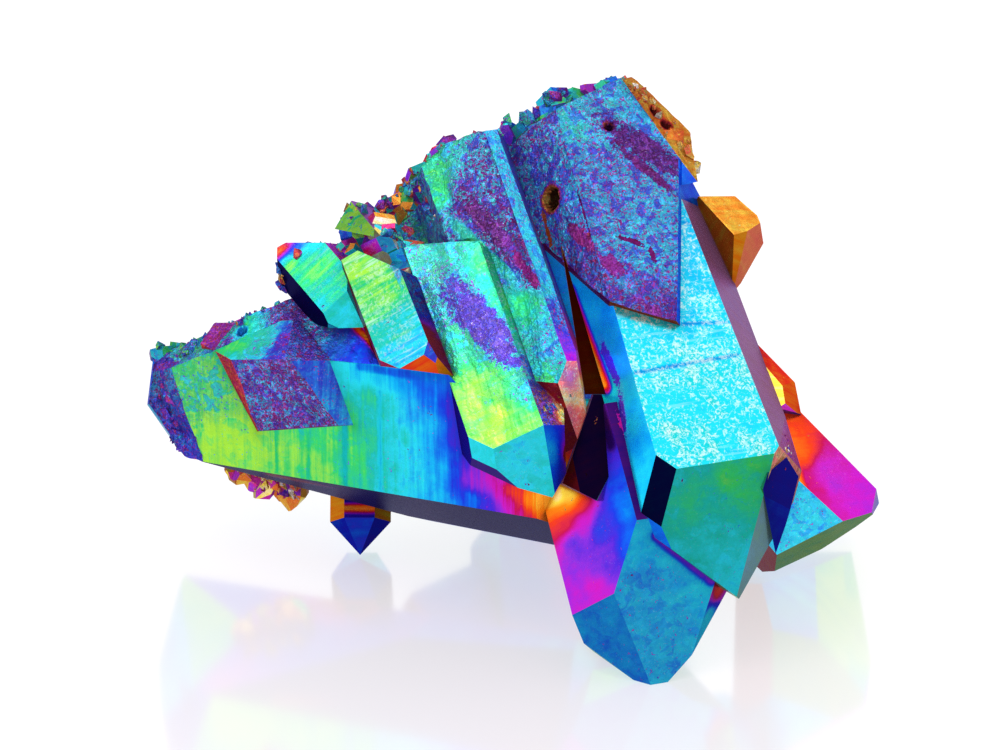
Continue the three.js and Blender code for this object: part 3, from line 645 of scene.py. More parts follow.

        # painted shade and light: the face's painted shade, the creases and hollows of the folds painted
        # darker as well as cut into the bump, darker specks, painted glints
        off = calc(tree, "ABSOLUTE", calc(tree, "SUBTRACT", fold, 0.5))
        crease = calc(tree, "SUBTRACT", 1.0, step_up(tree, off, 0.0, 0.018))
        edge = calc(tree, "MULTIPLY", crease, calc(tree, "MULTIPLY", grain, 0.8), clamp=True)
        dim = calc(tree, "SUBTRACT", 1.0, calc(tree, "MULTIPLY", mask, calc(
            tree, "MULTIPLY", grain, 0.45)))
        dim = calc(tree, "MULTIPLY", dim, calc(tree, "SUBTRACT", 1.0, edge))
        hollow = calc(tree, "MULTIPLY", step_up(tree, fold, 0.62, 0.38), grain)
        dim = calc(tree, "MULTIPLY", dim, calc(tree, "SUBTRACT", 1.0, calc(
            tree, "MULTIPLY", hollow, 0.6)))
        dim = calc(tree, "MULTIPLY", dim, calc(tree, "ADD", 1.0, calc(
            tree, "MULTIPLY", in_vein, calc(tree, "SUBTRACT", vein_shade, 1.0))))
        # painted glints: pale spots laid into the colour of grainy faces
        glint = calc(tree, "MULTIPLY", step_up(tree, grit, 0.66, 0.72), grain)
        colour = blend(tree, calc(tree, "MULTIPLY", glint, 0.5), colour, linear("#fff2e2"))
        dim = calc(tree, "MULTIPLY", calc(tree, "MULTIPLY", dim, shade), calc(
            tree, "ADD", 1.0, calc(tree, "MULTIPLY", lined, 0.6)))
        # painted glow: the emission colour is the colour times the painted shade, unclamped, so the faces
        # light themselves and faces whose shade is above 1 glow more
        inner = blend(tree, 1.0, colour, dim, "MULTIPLY")
        colour = blend(tree, 1.0, colour, calc(tree, "MINIMUM", dim, 1.0), "MULTIPLY")

        height = calc(tree, "ADD", calc(tree, "MULTIPLY", grit, calc(tree, "ADD", grain, 0.25)),
                      calc(tree, "MULTIPLY", lined, 1.6))
        height = calc(tree, "SUBTRACT", height, edge)
        height = calc(tree, "ADD", height, calc(tree, "MULTIPLY", fold, calc(
            tree, "MULTIPLY", grain, 4.0)))
        bump = add_node(tree, "ShaderNodeBump", {"Strength": 1.0, "Distance": self.relief_mm * MM},
                        {"Height": height})
        gloss = add_node(tree, "ShaderNodeMapRange", {
            "To Min": self.roughness - 0.06, "To Max": self.roughness + 0.12}, {"Value": grit})
        shader = add_node(tree, "ShaderNodeBsdfPrincipled", {
            "Metallic": self.metallic, "Specular Tint": linear(self.grazing),
            "Emission Strength": self.glow}, {
            "Base Color": colour, "Emission Color": inner, "Roughness": gloss.outputs["Result"],
            "Normal": bump.outputs["Normal"]})
        add_node(tree, "ShaderNodeOutputMaterial", links={"Surface": shader.outputs["BSDF"]})
        return material

    def noise(self, tree: bpy.types.NodeTree, place: bpy.types.NodeSocket, size_mm: float,
              detail: float, bend: float = 0.0) -> bpy.types.NodeSocket:
        """Adds a noise texture whose patches are about so many millimetres across.

        Args:
            tree: The node tree that gets it.
            place: Where the texture is looked up.
            size_mm: Size of its patches.
            detail: How many finer layers it has.
            bend: How wavy it is.

        Returns:
            The noise, about 0.5 in the mean.
        """
        return add_node(tree, "ShaderNodeTexNoise", {
            "Scale": 1000 / size_mm, "Detail": detail, "Roughness": 0.6, "Distortion": bend},
            {"Vector": place}).outputs["Fac"]

    def streaked(self, tree: bpy.types.NodeTree, grown: bpy.types.NodeSocket,
                 per_mm: tuple[float, float], detail: float) -> bpy.types.NodeSocket:
        """Adds a noise texture stretched along the growth lines.

        Args:
            tree: The node tree that gets it.
            grown: The growth coordinates, in millimetres.
            per_mm: Patches per millimetre along the crystal and across it.
            detail: The texture's detail.

        Returns:
            The noise, about 0.5 in the mean.
        """
        mapping = add_node(tree, "ShaderNodeMapping", {"Scale": (per_mm[0], per_mm[1], 1.0)},
                           {"Vector": grown})
        return add_node(tree, "ShaderNodeTexNoise", {"Scale": 1.0, "Detail": detail, "Roughness": 0.65},
                        {"Vector": mapping.outputs["Vector"]}).outputs["Fac"]

    def fill(self, ramp: bpy.types.ColorRamp) -> None:
        """Writes the film's colours into the colour ramp of a new node, which has two stops."""
        ramp.elements[0].position, ramp.elements[0].color = self.stops[0][0], linear(self.stops[0][1])
        ramp.elements[1].position, ramp.elements[1].color = self.stops[-1][0], linear(self.stops[-1][1])
        for position, colour in self.stops[1:-1]:
            ramp.elements.new(position).color = linear(colour)


@dataclass(frozen=True)
class BrokenMatrix(TitaniumFilm):
    """The same film on broken quartz: it changes from grain to grain, so the colours are speckled."""

    name: str = "vapour_coated_broken_matrix"
    roughness: float = 0.3
    drift_mm: float = 1.6
    drift: float = 0.14
    speck_mm: float = 0.36
    wrinkle_mm: float = 0.9
    relief_mm: float = 0.10


@dataclass(frozen=True)
class PolishedBoard:
    """White acrylic sheet on a light table, polished: white all over with a faint mirror image."""

    name: str = "polished_white_acrylic"
    colour: str = "#9c949a"
    roughness: float = 0.14
    haze_mm: float = 60.0
    glow: float = 0.66

    def material(self) -> bpy.types.Material:
        """Builds the node material and returns it."""
        material = bpy.data.materials.new(self.name)
        material.use_nodes = True
        tree = material.node_tree
        tree.nodes.clear()
        place = add_node(tree, "ShaderNodeTexCoord")
        haze = add_node(tree, "ShaderNodeTexNoise", {"Scale": 1000 / self.haze_mm, "Detail": 2.0},
                        {"Vector": place.outputs["Object"]})
        gloss = add_node(tree, "ShaderNodeMapRange", {
            "To Min": self.roughness - 0.02, "To Max": self.roughness + 0.02},
            {"Value": haze.outputs["Fac"]})
        shader = add_node(tree, "ShaderNodeBsdfPrincipled", {
            "Base Color": linear(self.colour), "Emission Color": linear("#ffffff"),
            "Emission Strength": self.glow, "IOR": 1.49, "Specular IOR Level": 0.8,
            "Coat Weight": 1.0, "Coat Roughness": 0.10, "Coat IOR": 1.49}, {
            "Roughness": gloss.outputs["Result"]})
        add_node(tree, "ShaderNodeOutputMaterial", links={"Surface": shader.outputs["BSDF"]})
        return material


# ---------------------------------------------------------------- the cluster
@dataclass
class Coating:
    """What every triangle corner gets.

    Attributes:
        film: Film thickness.
        grain: How grainy the surface is.
        dress: Painted shade, veil, growth lines and flecks.
        vein: Nearness of a ragged streak, its film and its painted shade.
        growth: Millimetres along the crystal and across it.
    """

    film: Array
    grain: Array
    dress: Array
    vein: Array
    growth: Array

    @classmethod
    def blank(cls, count: int) -> "Coating":
        """Returns an empty coating for so many triangles."""
        return cls(np.zeros((count, 3)), np.zeros((count, 3)), np.zeros((count, 3, 4)),
                   np.zeros((count, 3, 4)), np.zeros((count, 3, 2)))

    def joined(self, other: "Coating") -> "Coating":
        """Returns this coating with another one after it."""
        return Coating(*(np.concatenate([a, b]) for a, b in (
            (self.film, other.film), (self.grain, other.grain), (self.dress, other.dress),
            (self.vein, other.vein), (self.growth, other.growth))))


@dataclass(frozen=True)
class CrumbBand:
    """A line over the rough parts where crumbs of quartz are grown on.

    Attributes:
        start: Where it starts.
        end: Where it ends.
        reach: How far the crumbs lie from the line.
        count: How many there are.
        sizes: Smallest and largest crumb.
        films: The films that they can have.
    """

    start: Place
    end: Place
    reach: float
    count: int
    sizes: tuple[float, float]
    films: tuple[float, ...]


CRUMBS = (
    CrumbBand((-13.0, 6.5, 51.0), (-2.0, 9.0, 59.5), 1.5, 34, (0.6, 2.4), (.82, .76, .40, .88, .22)),
    CrumbBand((-2.0, 9.0, 59.5), (14.0, 13.5, 62.0), 1.4, 44, (0.6, 2.4), (.78, .84, .36, .62, .90)),
    CrumbBand((14.0, 12.5, 61.5), (23.0, 6.5, 53.5), 1.5, 24, (0.6, 2.4), (.10, .12, .14, .11, .13)),
    CrumbBand((-20.0, 4.0, 47.0), (-12.0, 5.5, 50.0), 1.8, 30, (0.6, 2.4), (.96, .10, .40, .80, .26)),
    CrumbBand((-14.0, -3.0, 46.0), (-10.0, 4.5, 47.5), 2.0, 40, (0.6, 2.6), (.80, .84, .02, .70, .24)),
    CrumbBand((-29.0, 2.0, 41.0), (-20.0, 1.0, 43.5), 1.4, 20, (0.5, 1.8), (.10, .30, .80, .60)),
    CrumbBand((-36.0, 1.5, 33.0), (-28.0, 2.0, 38.0), 1.6, 24, (0.6, 1.8), (.66, .80, .66, .20, .90)),
    CrumbBand((-43.0, 2.5, 29.0), (-37.0, 1.5, 31.5), 1.8, 30, (0.6, 2.4), (.95, .40, .92, .75, .60)),
    CrumbBand((-43.5, 1.5, 26.0), (-40.5, 2.0, 16.0), 1.5, 26, (0.6, 2.2), (.52, .60, .38, .56)),
    CrumbBand((-35.0, 2.5, 12.0), (-27.0, 3.5, 9.5), 1.6, 44, (0.6, 2.4), (.08, .12, .35, .28, .05)),
    CrumbBand((33.0, -15.5, 25.0), (32.0, -21.5, 25.0), 0.7, 24, (0.3, 1.0), (.10, .32, .62, .02)),
    CrumbBand((5.5, -19.8, 31.2), (3.4, -21.4, 31.0), 0.6, 22, (0.3, 0.9), (.02, .55, .62, .84)),
)


@dataclass
class Crumbs:
    """Small broken crystals on the rough parts, half sunk into them.

    Attributes:
        bands: Where they lie.
        seed: Chooses their shapes.
    """

    bands: tuple[CrumbBand, ...] = CRUMBS
    seed: int = 7

    def build(self, tree: BVHTree) -> tuple[Array, Array, Coating]:
        """Makes the crumbs.

        Args:
            tree: The surface that they sit on.

        Returns:
            Their points, triangles and coating.
        """
        rng = np.random.default_rng(self.seed)
        points, tris, films = [], [], []
        for band in self.bands:
            start, end = np.array(band.start), np.array(band.end)
            for _ in range(band.count):
                aim = start + rng.uniform(0, 1) * (end - start) + rng.normal(0, 0.5, 3) * band.reach
                spot, up, _, gap = tree.find_nearest(Vector(aim))
                if spot is None or gap > 3 * band.reach:
                    continue
                size = band.sizes[0] + (band.sizes[1] - band.sizes[0]) * rng.uniform(0, 1) ** 2
                shell, faces = self.shell(rng, size)
                first = sum(len(p) for p in points)
                points.append(shell + np.array(spot) - np.array(up) * size * 0.12)
                tris.append(faces + first)
                films.append(np.full(len(faces), rng.choice(band.films) + 0.03 * rng.standard_normal()))
        tris_all = np.concatenate(tris)
        coating = Coating.blank(len(tris_all))
        coating.film[:] = np.clip(np.concatenate(films) + 0.05 * rng.standard_normal(
            len(tris_all)), 0, 1)[:, None]
        coating.grain[:] = 0.6
        coating.dress[..., 0] = rng.uniform(0.5, 1.0, len(tris_all))[:, None]
        return np.concatenate(points), tris_all, coating

    def shell(self, rng: np.random.Generator, size: float) -> tuple[Array, Array]:
        """Makes one stubby crystal fragment.

        Args:
            rng: The source of its shape.
            size: Its length.

        Returns:
            Its points and triangles.
        """
        bm = bmesh.new()
        axis = unit(TWIN.axis() + rng.normal(0, 0.5, 3))
        for _ in range(9):
            spread = rng.normal(0, 1, 3)
            spread = unit(spread) * size * rng.uniform(0.35, 0.5)
            bm.verts.new(spread + axis * (spread @ axis) * 0.5)
        result = bmesh.ops.convex_hull(bm, input=bm.verts)
        bmesh.ops.delete(bm, geom=[g for g in result["geom_interior"] if isinstance(g, bmesh.types.BMVert)],
                         context="VERTS")
        bmesh.ops.triangulate(bm, faces=bm.faces)
        bm.normal_update()
        bm.verts.index_update()
        points = np.array([v.co for v in bm.verts])
        tris = np.array([[v.index for v in f.verts] for f in bm.faces])
        bm.free()
        return points, tris


@dataclass
class CoatedCluster:
    """The whole cluster, refined from its solid and coated.

    Attributes:
        node: The solid that it stands for.
        clean_edge: Longest mesh edge on clean faces.
        broken_edge: Longest mesh edge on broken faces.
        plain_edge: Longest mesh edge on faces without an entry.
        least_relief: Relief above which a face counts as broken.
        same_facing: Cosine between normals above which two plates face the same way.
        same_level: Distance under which two parallel plates are on one plane.
        face_shadow: Painted shade: how dark a face gets right beside another crystal.
        plain_shadow: The same for faces without an entry.
        thinnest: Thinnest film on faces without an entry.
        crease_width: How far from another crystal the painted crease shade reaches, and on faces without an
            entry the thinner film too.
        small_plate: Faces under this area, square millimetres, count as rubble.
    """

    node: str = "quartz_cluster"
    clean_edge: float = 1.1
    broken_edge: float = 0.48
    plain_edge: float = 1.9
    least_relief: float = 0.04
    same_facing: float = 0.9995
    same_level: float = 0.15
    face_shadow: float = 0.35
    plain_shadow: float = 0.45
    thinnest: float = 0.09
    crease_width: float = 1.0
    small_plate: float = 5.0
    faces: tuple[CrystalFace, ...] = FACES
    pits: tuple[Pit, ...] = PITS
    points: Array = field(default_factory=lambda: np.zeros((0, 3)))
    tris: Array = field(default_factory=lambda: np.zeros((0, 3), int))
    plates: Array = field(default_factory=lambda: np.zeros(0, int))

    def build(self) -> bpy.types.Object:
        """Makes the piece and returns it."""
        self.read_solid()
        self.find_plates()
        owners = self.match_faces()
        creases = self.contact_points()
        tree = BVHTree.FromPolygons([Vector(p) for p in self.points], self.tris.tolist())
        self.refine(owners)
        coating = self.coat(owners, creases, tree)
        self.break_up(owners)
        crumb_points, crumb_tris, crumb_coating = Crumbs().build(tree)
        broken = np.array([self.is_broken(face) for face in owners])[self.plates]
        self.tris = np.concatenate([self.tris, crumb_tris + len(self.points)])
        self.points = self.inside_box(np.concatenate([self.points, crumb_points]))
        broken = np.concatenate([broken, np.ones(len(crumb_tris), bool)])
        return self.make_object(coating.joined(crumb_coating), broken)

    def read_solid(self) -> None:
        """Reads the solid's triangles and welds their corners."""
        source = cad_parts[self.node].data
        corners = np.zeros(len(source.vertices) * 3)
        source.vertices.foreach_get("co", corners)
        corners = corners.reshape(-1, 3) / MM
        source.calc_loop_triangles()
        index = np.zeros(len(source.loop_triangles) * 3, int)
        source.loop_triangles.foreach_get("vertices", index)
        keys = np.round(corners, 3)
        _, first, back = np.unique(keys, axis=0, return_index=True, return_inverse=True)
        self.points = corners[first]
        tris = back.reshape(-1)[index].reshape(-1, 3)
        keep = (tris[:, 0] != tris[:, 1]) & (tris[:, 1] != tris[:, 2]) & (tris[:, 0] != tris[:, 2])
        self.tris = tris[keep]

    def normals(self) -> tuple[Array, Array]:
        """Returns each triangle's unit normal and its area."""
        a, b, c = (self.points[self.tris[:, k]] for k in range(3))
        cross = np.cross(b - a, c - a)
        length = np.linalg.norm(cross, axis=1)
        return cross / np.maximum(length, 1e-12)[:, None], length / 2

    def edge_pairs(self) -> tuple[Array, Array]:
        """Returns the pairs of triangles that share an edge, and that edge's two points."""
        edges = np.concatenate([self.tris[:, [0, 1]], self.tris[:, [1, 2]], self.tris[:, [2, 0]]])
        owner = np.tile(np.arange(len(self.tris)), 3)
        ordered = np.sort(edges, axis=1)
        key = ordered[:, 0] * (len(self.points) + 1) + ordered[:, 1]
        rank = np.argsort(key, kind="stable")
        same = np.nonzero(key[rank][1:] == key[rank][:-1])[0]
        first, second = rank[same], rank[same + 1]
        return np.column_stack([owner[first], owner[second]]), ordered[first]

    def find_plates(self) -> None:
        """Groups the triangles that lie in one flat face."""
        normal, _ = self.normals()
        pairs, _ = self.edge_pairs()
        level = (normal * self.points[self.tris[:, 0]]).sum(axis=1)
        flat = (normal[pairs[:, 0]] * normal[pairs[:, 1]]).sum(axis=1) > 0.9999
        flat &= np.abs(level[pairs[:, 0]] - level[pairs[:, 1]]) < 0.02
        parent = np.arange(len(self.tris))

        def root(i: int) -> int:
            """Finds the group that a triangle is in."""
            while parent[i] != i:
                parent[i] = parent[parent[i]]
                i = parent[i]
            return i

        for a, b in pairs[flat]:
            parent[root(a)] = root(b)
        groups = np.array([root(i) for i in range(len(self.tris))])
        _, self.plates = np.unique(groups, return_inverse=True)

    def match_faces(self) -> list[CrystalFace | None]:
        """Finds the described face that each plate belongs to.

        Returns:
            One entry for each plate, None where no description fits.
        """
        normal, area = self.normals()
        count = self.plates.max() + 1
        first = np.zeros(count, int)
        first[self.plates[::-1]] = np.arange(len(self.tris))[::-1]
        plate_normal = normal[first]
        level = (plate_normal * self.points[self.tris[first, 0]]).sum(axis=1)
        total = np.bincount(self.plates, weights=area, minlength=count)
        centre = self.points[self.tris].mean(axis=1)
        middle = np.column_stack([np.bincount(self.plates, weights=area * centre[:, k], minlength=count)
                                  for k in range(3)]) / np.maximum(total, 1e-9)[:, None]
        self.plate_area, self.plate_normal = total, plate_normal
        tree = BVHTree.FromPolygons([Vector(p) for p in self.points], self.tris.tolist())
        owners: list[CrystalFace | None] = [None] * count
        best = np.full(count, 1e9)
        for face in self.faces:
            _, _, index, gap = tree.find_nearest(Vector(face.spots[0][:3]))
            plate = self.plates[index]
            if gap > 0.8:
                LOG.warning("%s: its first spot is %.2f mm off the surface", face.name, gap)
            same = (plate_normal @ plate_normal[plate] > self.same_facing) & (
                np.abs(level - level[plate]) < self.same_level)
            for i in np.nonzero(same)[0]:
                away = min(np.linalg.norm(middle[i] - np.array(s[:3])) for s in face.spots)
                if i == plate:
                    away = 0.0
                if away < best[i] and away < 22:
                    best[i], owners[i] = away, face
        return owners

    def contact_points(self) -> KDTree:
        """Samples the hollow edges where crystals meet and returns them as a search tree."""
        normal, _ = self.normals()
        pairs, ends = self.edge_pairs()
        a, b = pairs[:, 0], pairs[:, 1]
        far = self.points[self.tris[b]].sum(axis=1) - self.points[ends].sum(axis=1)
        rise = (normal[a] * (far - self.points[ends[:, 0]])).sum(axis=1)
        turn = (normal[a] * normal[b]).sum(axis=1)
        span = np.linalg.norm(self.points[ends[:, 0]] - self.points[ends[:, 1]], axis=1)
        big = (self.plate_area[self.plates[a]] > 8) & (self.plate_area[self.plates[b]] > 8)
        hollow = (rise > 0.01) & (turn < 0.97) & (span > 0.8) & big
        samples = []
        for start, end in self.points[ends[hollow]]:
            steps = max(2, int(np.linalg.norm(end - start) / 0.4))
            samples.append(start + (end - start) * np.linspace(0, 1, steps)[:, None])
        cloud = np.concatenate(samples)
        tree = KDTree(len(cloud))
        for i, point in enumerate(cloud):
            tree.insert(point, i)
        tree.balance()
        return tree

    def is_broken(self, face: CrystalFace | None) -> bool:
        """Says whether a face has the broken skin."""
        return face is not None and face.skin is Skin.BROKEN

    def edge_limit(self, face: CrystalFace | None) -> float:
        """Returns the longest mesh edge that a plate may keep."""
        if face is not None:
            fine = face.ragged > self.least_relief or face.streaks
            return self.broken_edge if fine else self.clean_edge
        return self.plain_edge

    def refine(self, owners: list[CrystalFace | None]) -> None:
        """Splits long edges until every face is fine enough for its coating.

        Args:
            owners: The described face of each plate.
        """
        limit = np.array([self.edge_limit(face) for face in owners])
        bm = bmesh.new()
        verts = [bm.verts.new(p) for p in self.points]
        layer = bm.faces.layers.int.new("plate")
        for tri, plate in zip(self.tris, self.plates):
            try:
                face = bm.faces.new([verts[i] for i in tri])
            except ValueError:
                continue
            face[layer] = int(plate)
        bmesh.ops.dissolve_limit(bm, angle_limit=math.radians(0.3), verts=bm.verts, edges=bm.edges)
        bmesh.ops.triangulate(bm, faces=bm.faces, quad_method="BEAUTY", ngon_method="BEAUTY")
        for step in (16.0, 8.0, 4.0, 2.0, 1.0, 1.0):
            long_edges = [e for e in bm.edges if e.link_faces and e.calc_length()
                          > step * min(limit[f[layer]] for f in e.link_faces)]
            if long_edges:
                bmesh.ops.subdivide_edges(bm, edges=long_edges, cuts=1, use_grid_fill=False)
                bmesh.ops.triangulate(bm, faces=[f for f in bm.faces if len(f.verts) > 3])
            inner = [e for e in bm.edges if len(e.link_faces) == 2
                     and e.link_faces[0][layer] == e.link_faces[1][layer]]
            bmesh.ops.beautify_fill(bm, faces=bm.faces, edges=inner, method="ANGLE")
        bm.verts.index_update()
        self.points = np.array([v.co for v in bm.verts])
        self.tris = np.array([[v.index for v in f.verts] for f in bm.faces])
        self.plates = np.array([f[layer] for f in bm.faces])
        bm.free()

    def coat(self, owners: list[CrystalFace | None], creases: KDTree, tree: BVHTree) -> Coating:
        """Works out the coating at every corner of every triangle.

        Args:
            owners: The described face of each plate.
            creases: Points on the hollow edges.
            tree: The unrefined surface, for the shadows that the vapour left.

        Returns:
            The coating.
        """
        near = np.array([creases.find(p)[2] for p in self.points])
        coating = Coating.blank(len(self.tris))
        rng = np.random.default_rng(11)
        order = np.argsort(self.plates, kind="stable")
        starts = np.searchsorted(self.plates[order], np.arange(len(owners) + 1))
        wave = value_noise(self.points, 9.0, 5)
        open_sky = self.openness(tree)
        for plate, face in enumerate(owners):
            rows = order[starts[plate]:starts[plate + 1]]
            if len(rows) == 0:
                continue
            corners = self.tris[rows]
            places = self.points[corners]
            closeness = np.exp(-near[corners] / self.crease_width)
            axis = (face.growth if face else TWIN).axis()
            across = np.cross(self.plate_normal[plate], axis)
            coating.growth[rows, :, 0] = places @ axis
            coating.growth[rows, :, 1] = places @ across
            if face:
                self.coat_face(coating, rows, face, places)
                # painted shade beside other crystals
                coating.dress[rows, :, 0] *= 1 - self.face_shadow * closeness
            elif self.plate_area[plate] < self.small_plate:
                coating.film[rows] = rng.choice(self.rubble_films(places.mean(axis=(0, 1))))
                coating.dress[rows] = (rng.uniform(0.45, 1.0), 0.0, 0.1, 0.0)
                coating.grain[rows] = 0.3
            else:
                turned = rng.uniform(-0.5, 0.5)
                base = 0.50 + 0.75 * turned + 0.26 * open_sky[corners] + 0.20 * wave[corners]
                coating.film[rows] = np.clip(base - 0.12 * closeness, self.thinnest, 1.0)
                coating.dress[rows] = (0.72, 0.0, 0.6, 0.15)
                # painted shade beside other crystals
                coating.dress[rows, :, 0] *= 1 - self.plain_shadow * closeness
                coating.grain[rows] = np.clip(0.75 - open_sky[corners] + 0.4 * wave[corners], 0, 0.8)
        for pit in self.pits:
            gap = np.linalg.norm(self.points[self.tris] - np.array(pit.centre), axis=2) / pit.radius
            ring = np.clip(5.0 - 3.6 * gap, 0, 1)
            coating.film += ring * (pit.rim - coating.film)
            # Painted shade: dark inside each pit and a little darker round its rim.
            coating.dress[..., 0] *= np.where(gap < 0.9, pit.shade, 1 - 0.35 * ring)
        coating.film = np.clip(coating.film, 0.0, 1.0)
        coating.dress = np.clip(coating.dress, 0.0, 3.0)
        return coating

    def rubble_films(self, place: Array) -> tuple[float, ...]:
        """Returns the films that rubble has at a place: those of the nearest crumbs."""
        middles = [(np.array(band.start) + np.array(band.end)) / 2 for band in CRUMBS]
        return CRUMBS[int(np.argmin([np.linalg.norm(place - m) for m in middles]))].films

    def coat_face(self, coating: Coating, rows: Array, face: CrystalFace, places: Array) -> None:
        """Coats the triangles of one described face.

        Args:
            coating: What is filled in.
            rows: The face's triangles.
            face: Its description.
            places: The corners' positions.
        """
        spots = np.array(face.spots)
        gap = ((places[:, :, None, :] - spots[None, None, :, :3]) ** 2).sum(axis=3)
        weight = (gap + 1.2) ** -1.8
        total = weight.sum(axis=2)
        film = (weight * spots[:, 3]).sum(axis=2) / total
        grain = (weight * spots[:, 4]).sum(axis=2) / total
        # the face's painted shade, changed along its streaks
        shade = np.full(film.shape, face.shade)
        vein = np.zeros((*film.shape, 4))
        for streak in face.streaks:
            much = streak.weight(places)
            grain += much * (streak.grain - grain)
            if streak.soft:
                film += much * (streak.film - film)
                shade *= 1 + much * (streak.shade - 1)
            else:
                vein[much > vein[..., 0]] = (0.0, streak.film, streak.shade, 0.0)
                vein[..., 0] = np.maximum(vein[..., 0], much)
        coating.vein[rows] = vein
        coating.film[rows] = film
        coating.grain[rows] = grain
        coating.dress[rows] = (1.0, face.veil, face.lines, face.flecks)
        coating.dress[rows, :, 0] = shade

    def openness(self, tree: BVHTree, rays: int = 12, reach: float = 25.0) -> Array:
        """Measures how much of the sky each mesh point sees.

        Args:
            tree: The unrefined surface.
            rays: How many directions are tried.
            reach: How far a ray looks.

        Returns:
            0 for a closed crevice to 1 for an open face, one value for each point.
        """
        normal, area = self.normals()
        point_normal = np.zeros_like(self.points)
        for k in range(3):
            np.add.at(point_normal, self.tris[:, k], normal * area[:, None])
        point_normal = unit(point_normal)
        index = np.arange(rays) + 0.5
        polar = np.arccos(1 - 2 * index / rays)
        turn = math.pi * (1 + 5 ** 0.5) * index
        sphere = np.column_stack([np.cos(turn) * np.sin(polar), np.sin(turn) * np.sin(polar), np.cos(polar)])
        sky = np.zeros(len(self.points))
        for i, (point, up) in enumerate(zip(self.points, point_normal)):
            start = Vector(point + up * 0.05)
            free = 0
            for ray in unit(sphere + up * 1.05):
                if tree.ray_cast(start, Vector(ray), reach)[0] is None:
                    free += 1
            sky[i] = free / rays
        return sky

    def break_up(self, owners: list[CrystalFace | None]) -> None:
        """Breaks up the rough faces into ledges and grains, and sinks the pits.

        Args:
            owners: The described face of each plate.
        """
        normal, area = self.normals()
        direction = np.zeros_like(self.points)
        height = np.zeros(len(self.points))
        ragged = np.array([face.ragged if face else 0.0 for face in owners])[self.plates]
        share = np.zeros(len(self.points))
        for k in range(3):
            np.add.at(direction, self.tris[:, k], normal * area[:, None])
            np.add.at(height, self.tris[:, k], ragged)
            np.add.at(share, self.tris[:, k], 1.0)
        direction = unit(direction)
        height /= np.maximum(share, 1)
        along = (self.points @ TWIN.axis())[:, None] * TWIN.axis()
        coarse = value_noise(self.points - 0.7 * along, 2.2, 21)
        ledges = np.floor(coarse * 3.5) / 3.5 + 0.3 * coarse
        grain = value_noise(self.points - 0.4 * along, 0.8, 33)
        shift = height * (0.9 * ledges + 0.4 * grain)
        for pit in self.pits:
            gap = np.linalg.norm(self.points - np.array(pit.centre), axis=1)
            inside = gap < pit.radius
            shift[inside] -= pit.depth * np.sqrt(1 - (gap[inside] / pit.radius) ** 2)
        self.points = self.points + direction * shift[:, None]

    def inside_box(self, points: Array) -> Array:
        """Keeps points inside the solid's box."""
        low, high = (np.array(corner) / MM for corner in CAD_BOX)
        return np.clip(points, low, high)

    def make_object(self, coating: Coating, broken: Array) -> bpy.types.Object:
        """Turns the arrays into a Blender object.

        Args:
            coating: What every corner gets.
            broken: True for each triangle with the broken skin.

        Returns:
            The finished piece.
        """
        mesh = bpy.data.meshes.new("coated_quartz_cluster")
        mesh.from_pydata((self.points * MM).tolist(), [], self.tris.tolist())
        for name, kind, slot, values in (("film", "FLOAT", "value", coating.film),
                                         ("grain", "FLOAT", "value", coating.grain),
                                         ("dress", "FLOAT_COLOR", "color", coating.dress),
                                         ("vein", "FLOAT_COLOR", "color", coating.vein)):
            mesh.attributes.new(name, kind, "CORNER").data.foreach_set(slot, values.reshape(-1))
        mesh.uv_layers.new(name="growth").data.foreach_set("uv", coating.growth.reshape(-1))
        mesh.materials.append(TitaniumFilm().material())
        mesh.materials.append(BrokenMatrix().material())
        mesh.polygons.foreach_set("material_index", broken.astype(int))
        mesh.polygons.foreach_set("use_smooth", np.zeros(len(self.tris), dtype=bool))
        mesh.update()
        piece = bpy.data.objects.new("coated_quartz_cluster", mesh)
        bpy.context.scene.collection.objects.link(piece)
        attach(piece, "root")
        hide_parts(self.node)
        return piece


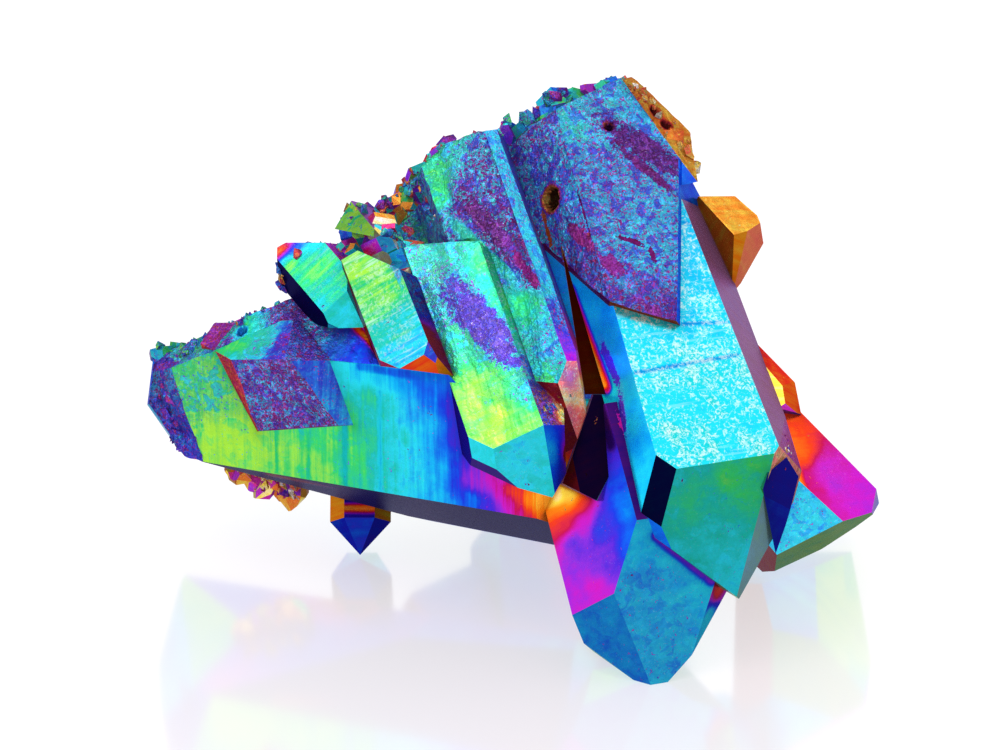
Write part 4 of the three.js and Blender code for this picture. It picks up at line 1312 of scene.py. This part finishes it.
# ---------------------------------------------------------------- the studio
@dataclass
class Studio:
    """White board, soft lights and the camera.

    Attributes:
        target: The point that the camera looks at.
        distance: From the camera to that point.
        elevation: The camera's angle above the ground, degrees.
        lens: Focal length, millimetres on a 36 mm sensor.
        board_size: Edge length of the board.
        glow: How bright the pale walls are.
    """

    target: Place = (-1.1, -1.5, 28.0)
    distance: float = 420.0
    elevation: float = 22.0
    lens: float = 121.93
    board_size: float = 6000.0
    glow: float = 1.0

    def build(self) -> None:
        """Makes the board, the lights, the surroundings and the camera."""
        self.board()
        self.light("key_softbox", (-520, -420, 1000), 700, 3.0)
        self.light("fill_softbox", (900, -200, 700), 500, 1.0)
        self.light("rear_softbox", (100, 800, 1200), 700, 2.5)
        self.surroundings()
        self.camera()

    def board(self) -> None:
        """Lays the white board on the ground plane."""
        half = self.board_size * MM / 2
        mesh = bpy.data.meshes.new("studio_board")
        mesh.from_pydata([(-half, -half, 0), (half, -half, 0), (half, half, 0), (-half, half, 0)], [],
                         [(0, 1, 2, 3)])
        mesh.materials.append(PolishedBoard().material())
        board = bpy.data.objects.new("studio_board", mesh)
        bpy.context.scene.collection.objects.link(board)

    def light(self, name: str, place: Place, size: float, power: float) -> None:
        """Adds a square softbox aimed at the cluster.

        Args:
            name: The lamp's name.
            place: Where it stands.
            size: Its edge length.
            power: Its power in watts.
        """
        data = bpy.data.lights.new(name, "AREA")
        data.shape, data.size, data.energy = "SQUARE", size * MM, power
        lamp = bpy.data.objects.new(name, data)
        lamp.location = Vector(place) * MM
        aim = Vector((0, 0, 25)) * MM - lamp.location
        lamp.rotation_euler = aim.to_track_quat("-Z", "Y").to_euler()
        bpy.context.scene.collection.objects.link(lamp)

    def surroundings(self) -> None:
        """Gives the studio pale walls."""
        world = bpy.data.worlds.new("white_studio")
        world.use_nodes = True
        tree = world.node_tree
        tree.nodes.clear()
        background = add_node(tree, "ShaderNodeBackground", {
            "Color": linear("#fdfdff"), "Strength": self.glow})
        add_node(tree, "ShaderNodeOutputWorld", links={"Surface": background.outputs["Background"]})
        bpy.context.scene.world = world

    def camera(self) -> None:
        """Sets the camera at its place."""
        data = bpy.data.cameras.new("studio_camera")
        data.lens, data.sensor_width = self.lens, 36.0
        data.clip_start, data.clip_end = 0.02, 20.0
        tilt = math.radians(self.elevation)
        back = Vector((0, -math.cos(tilt), math.sin(tilt)))
        eye = bpy.data.objects.new("studio_camera", data)
        eye.location = (Vector(self.target) + back * self.distance) * MM
        eye.rotation_euler = (-back).to_track_quat("-Z", "Y").to_euler()
        bpy.context.scene.collection.objects.link(eye)
        bpy.context.scene.camera = eye
        bpy.context.scene.view_settings.view_transform = "Standard"


def main() -> None:
    """Builds the cluster and the studio."""
    logging.basicConfig(level=logging.INFO, format="%(name)s: %(message)s")
    cluster = CoatedCluster().build()
    LOG.info("%s: %d triangles", cluster.name, len(cluster.data.polygons))
    Studio().build()
    LOG.info("studio: board, softboxes and camera")


if __name__ == "__main__":
    main()
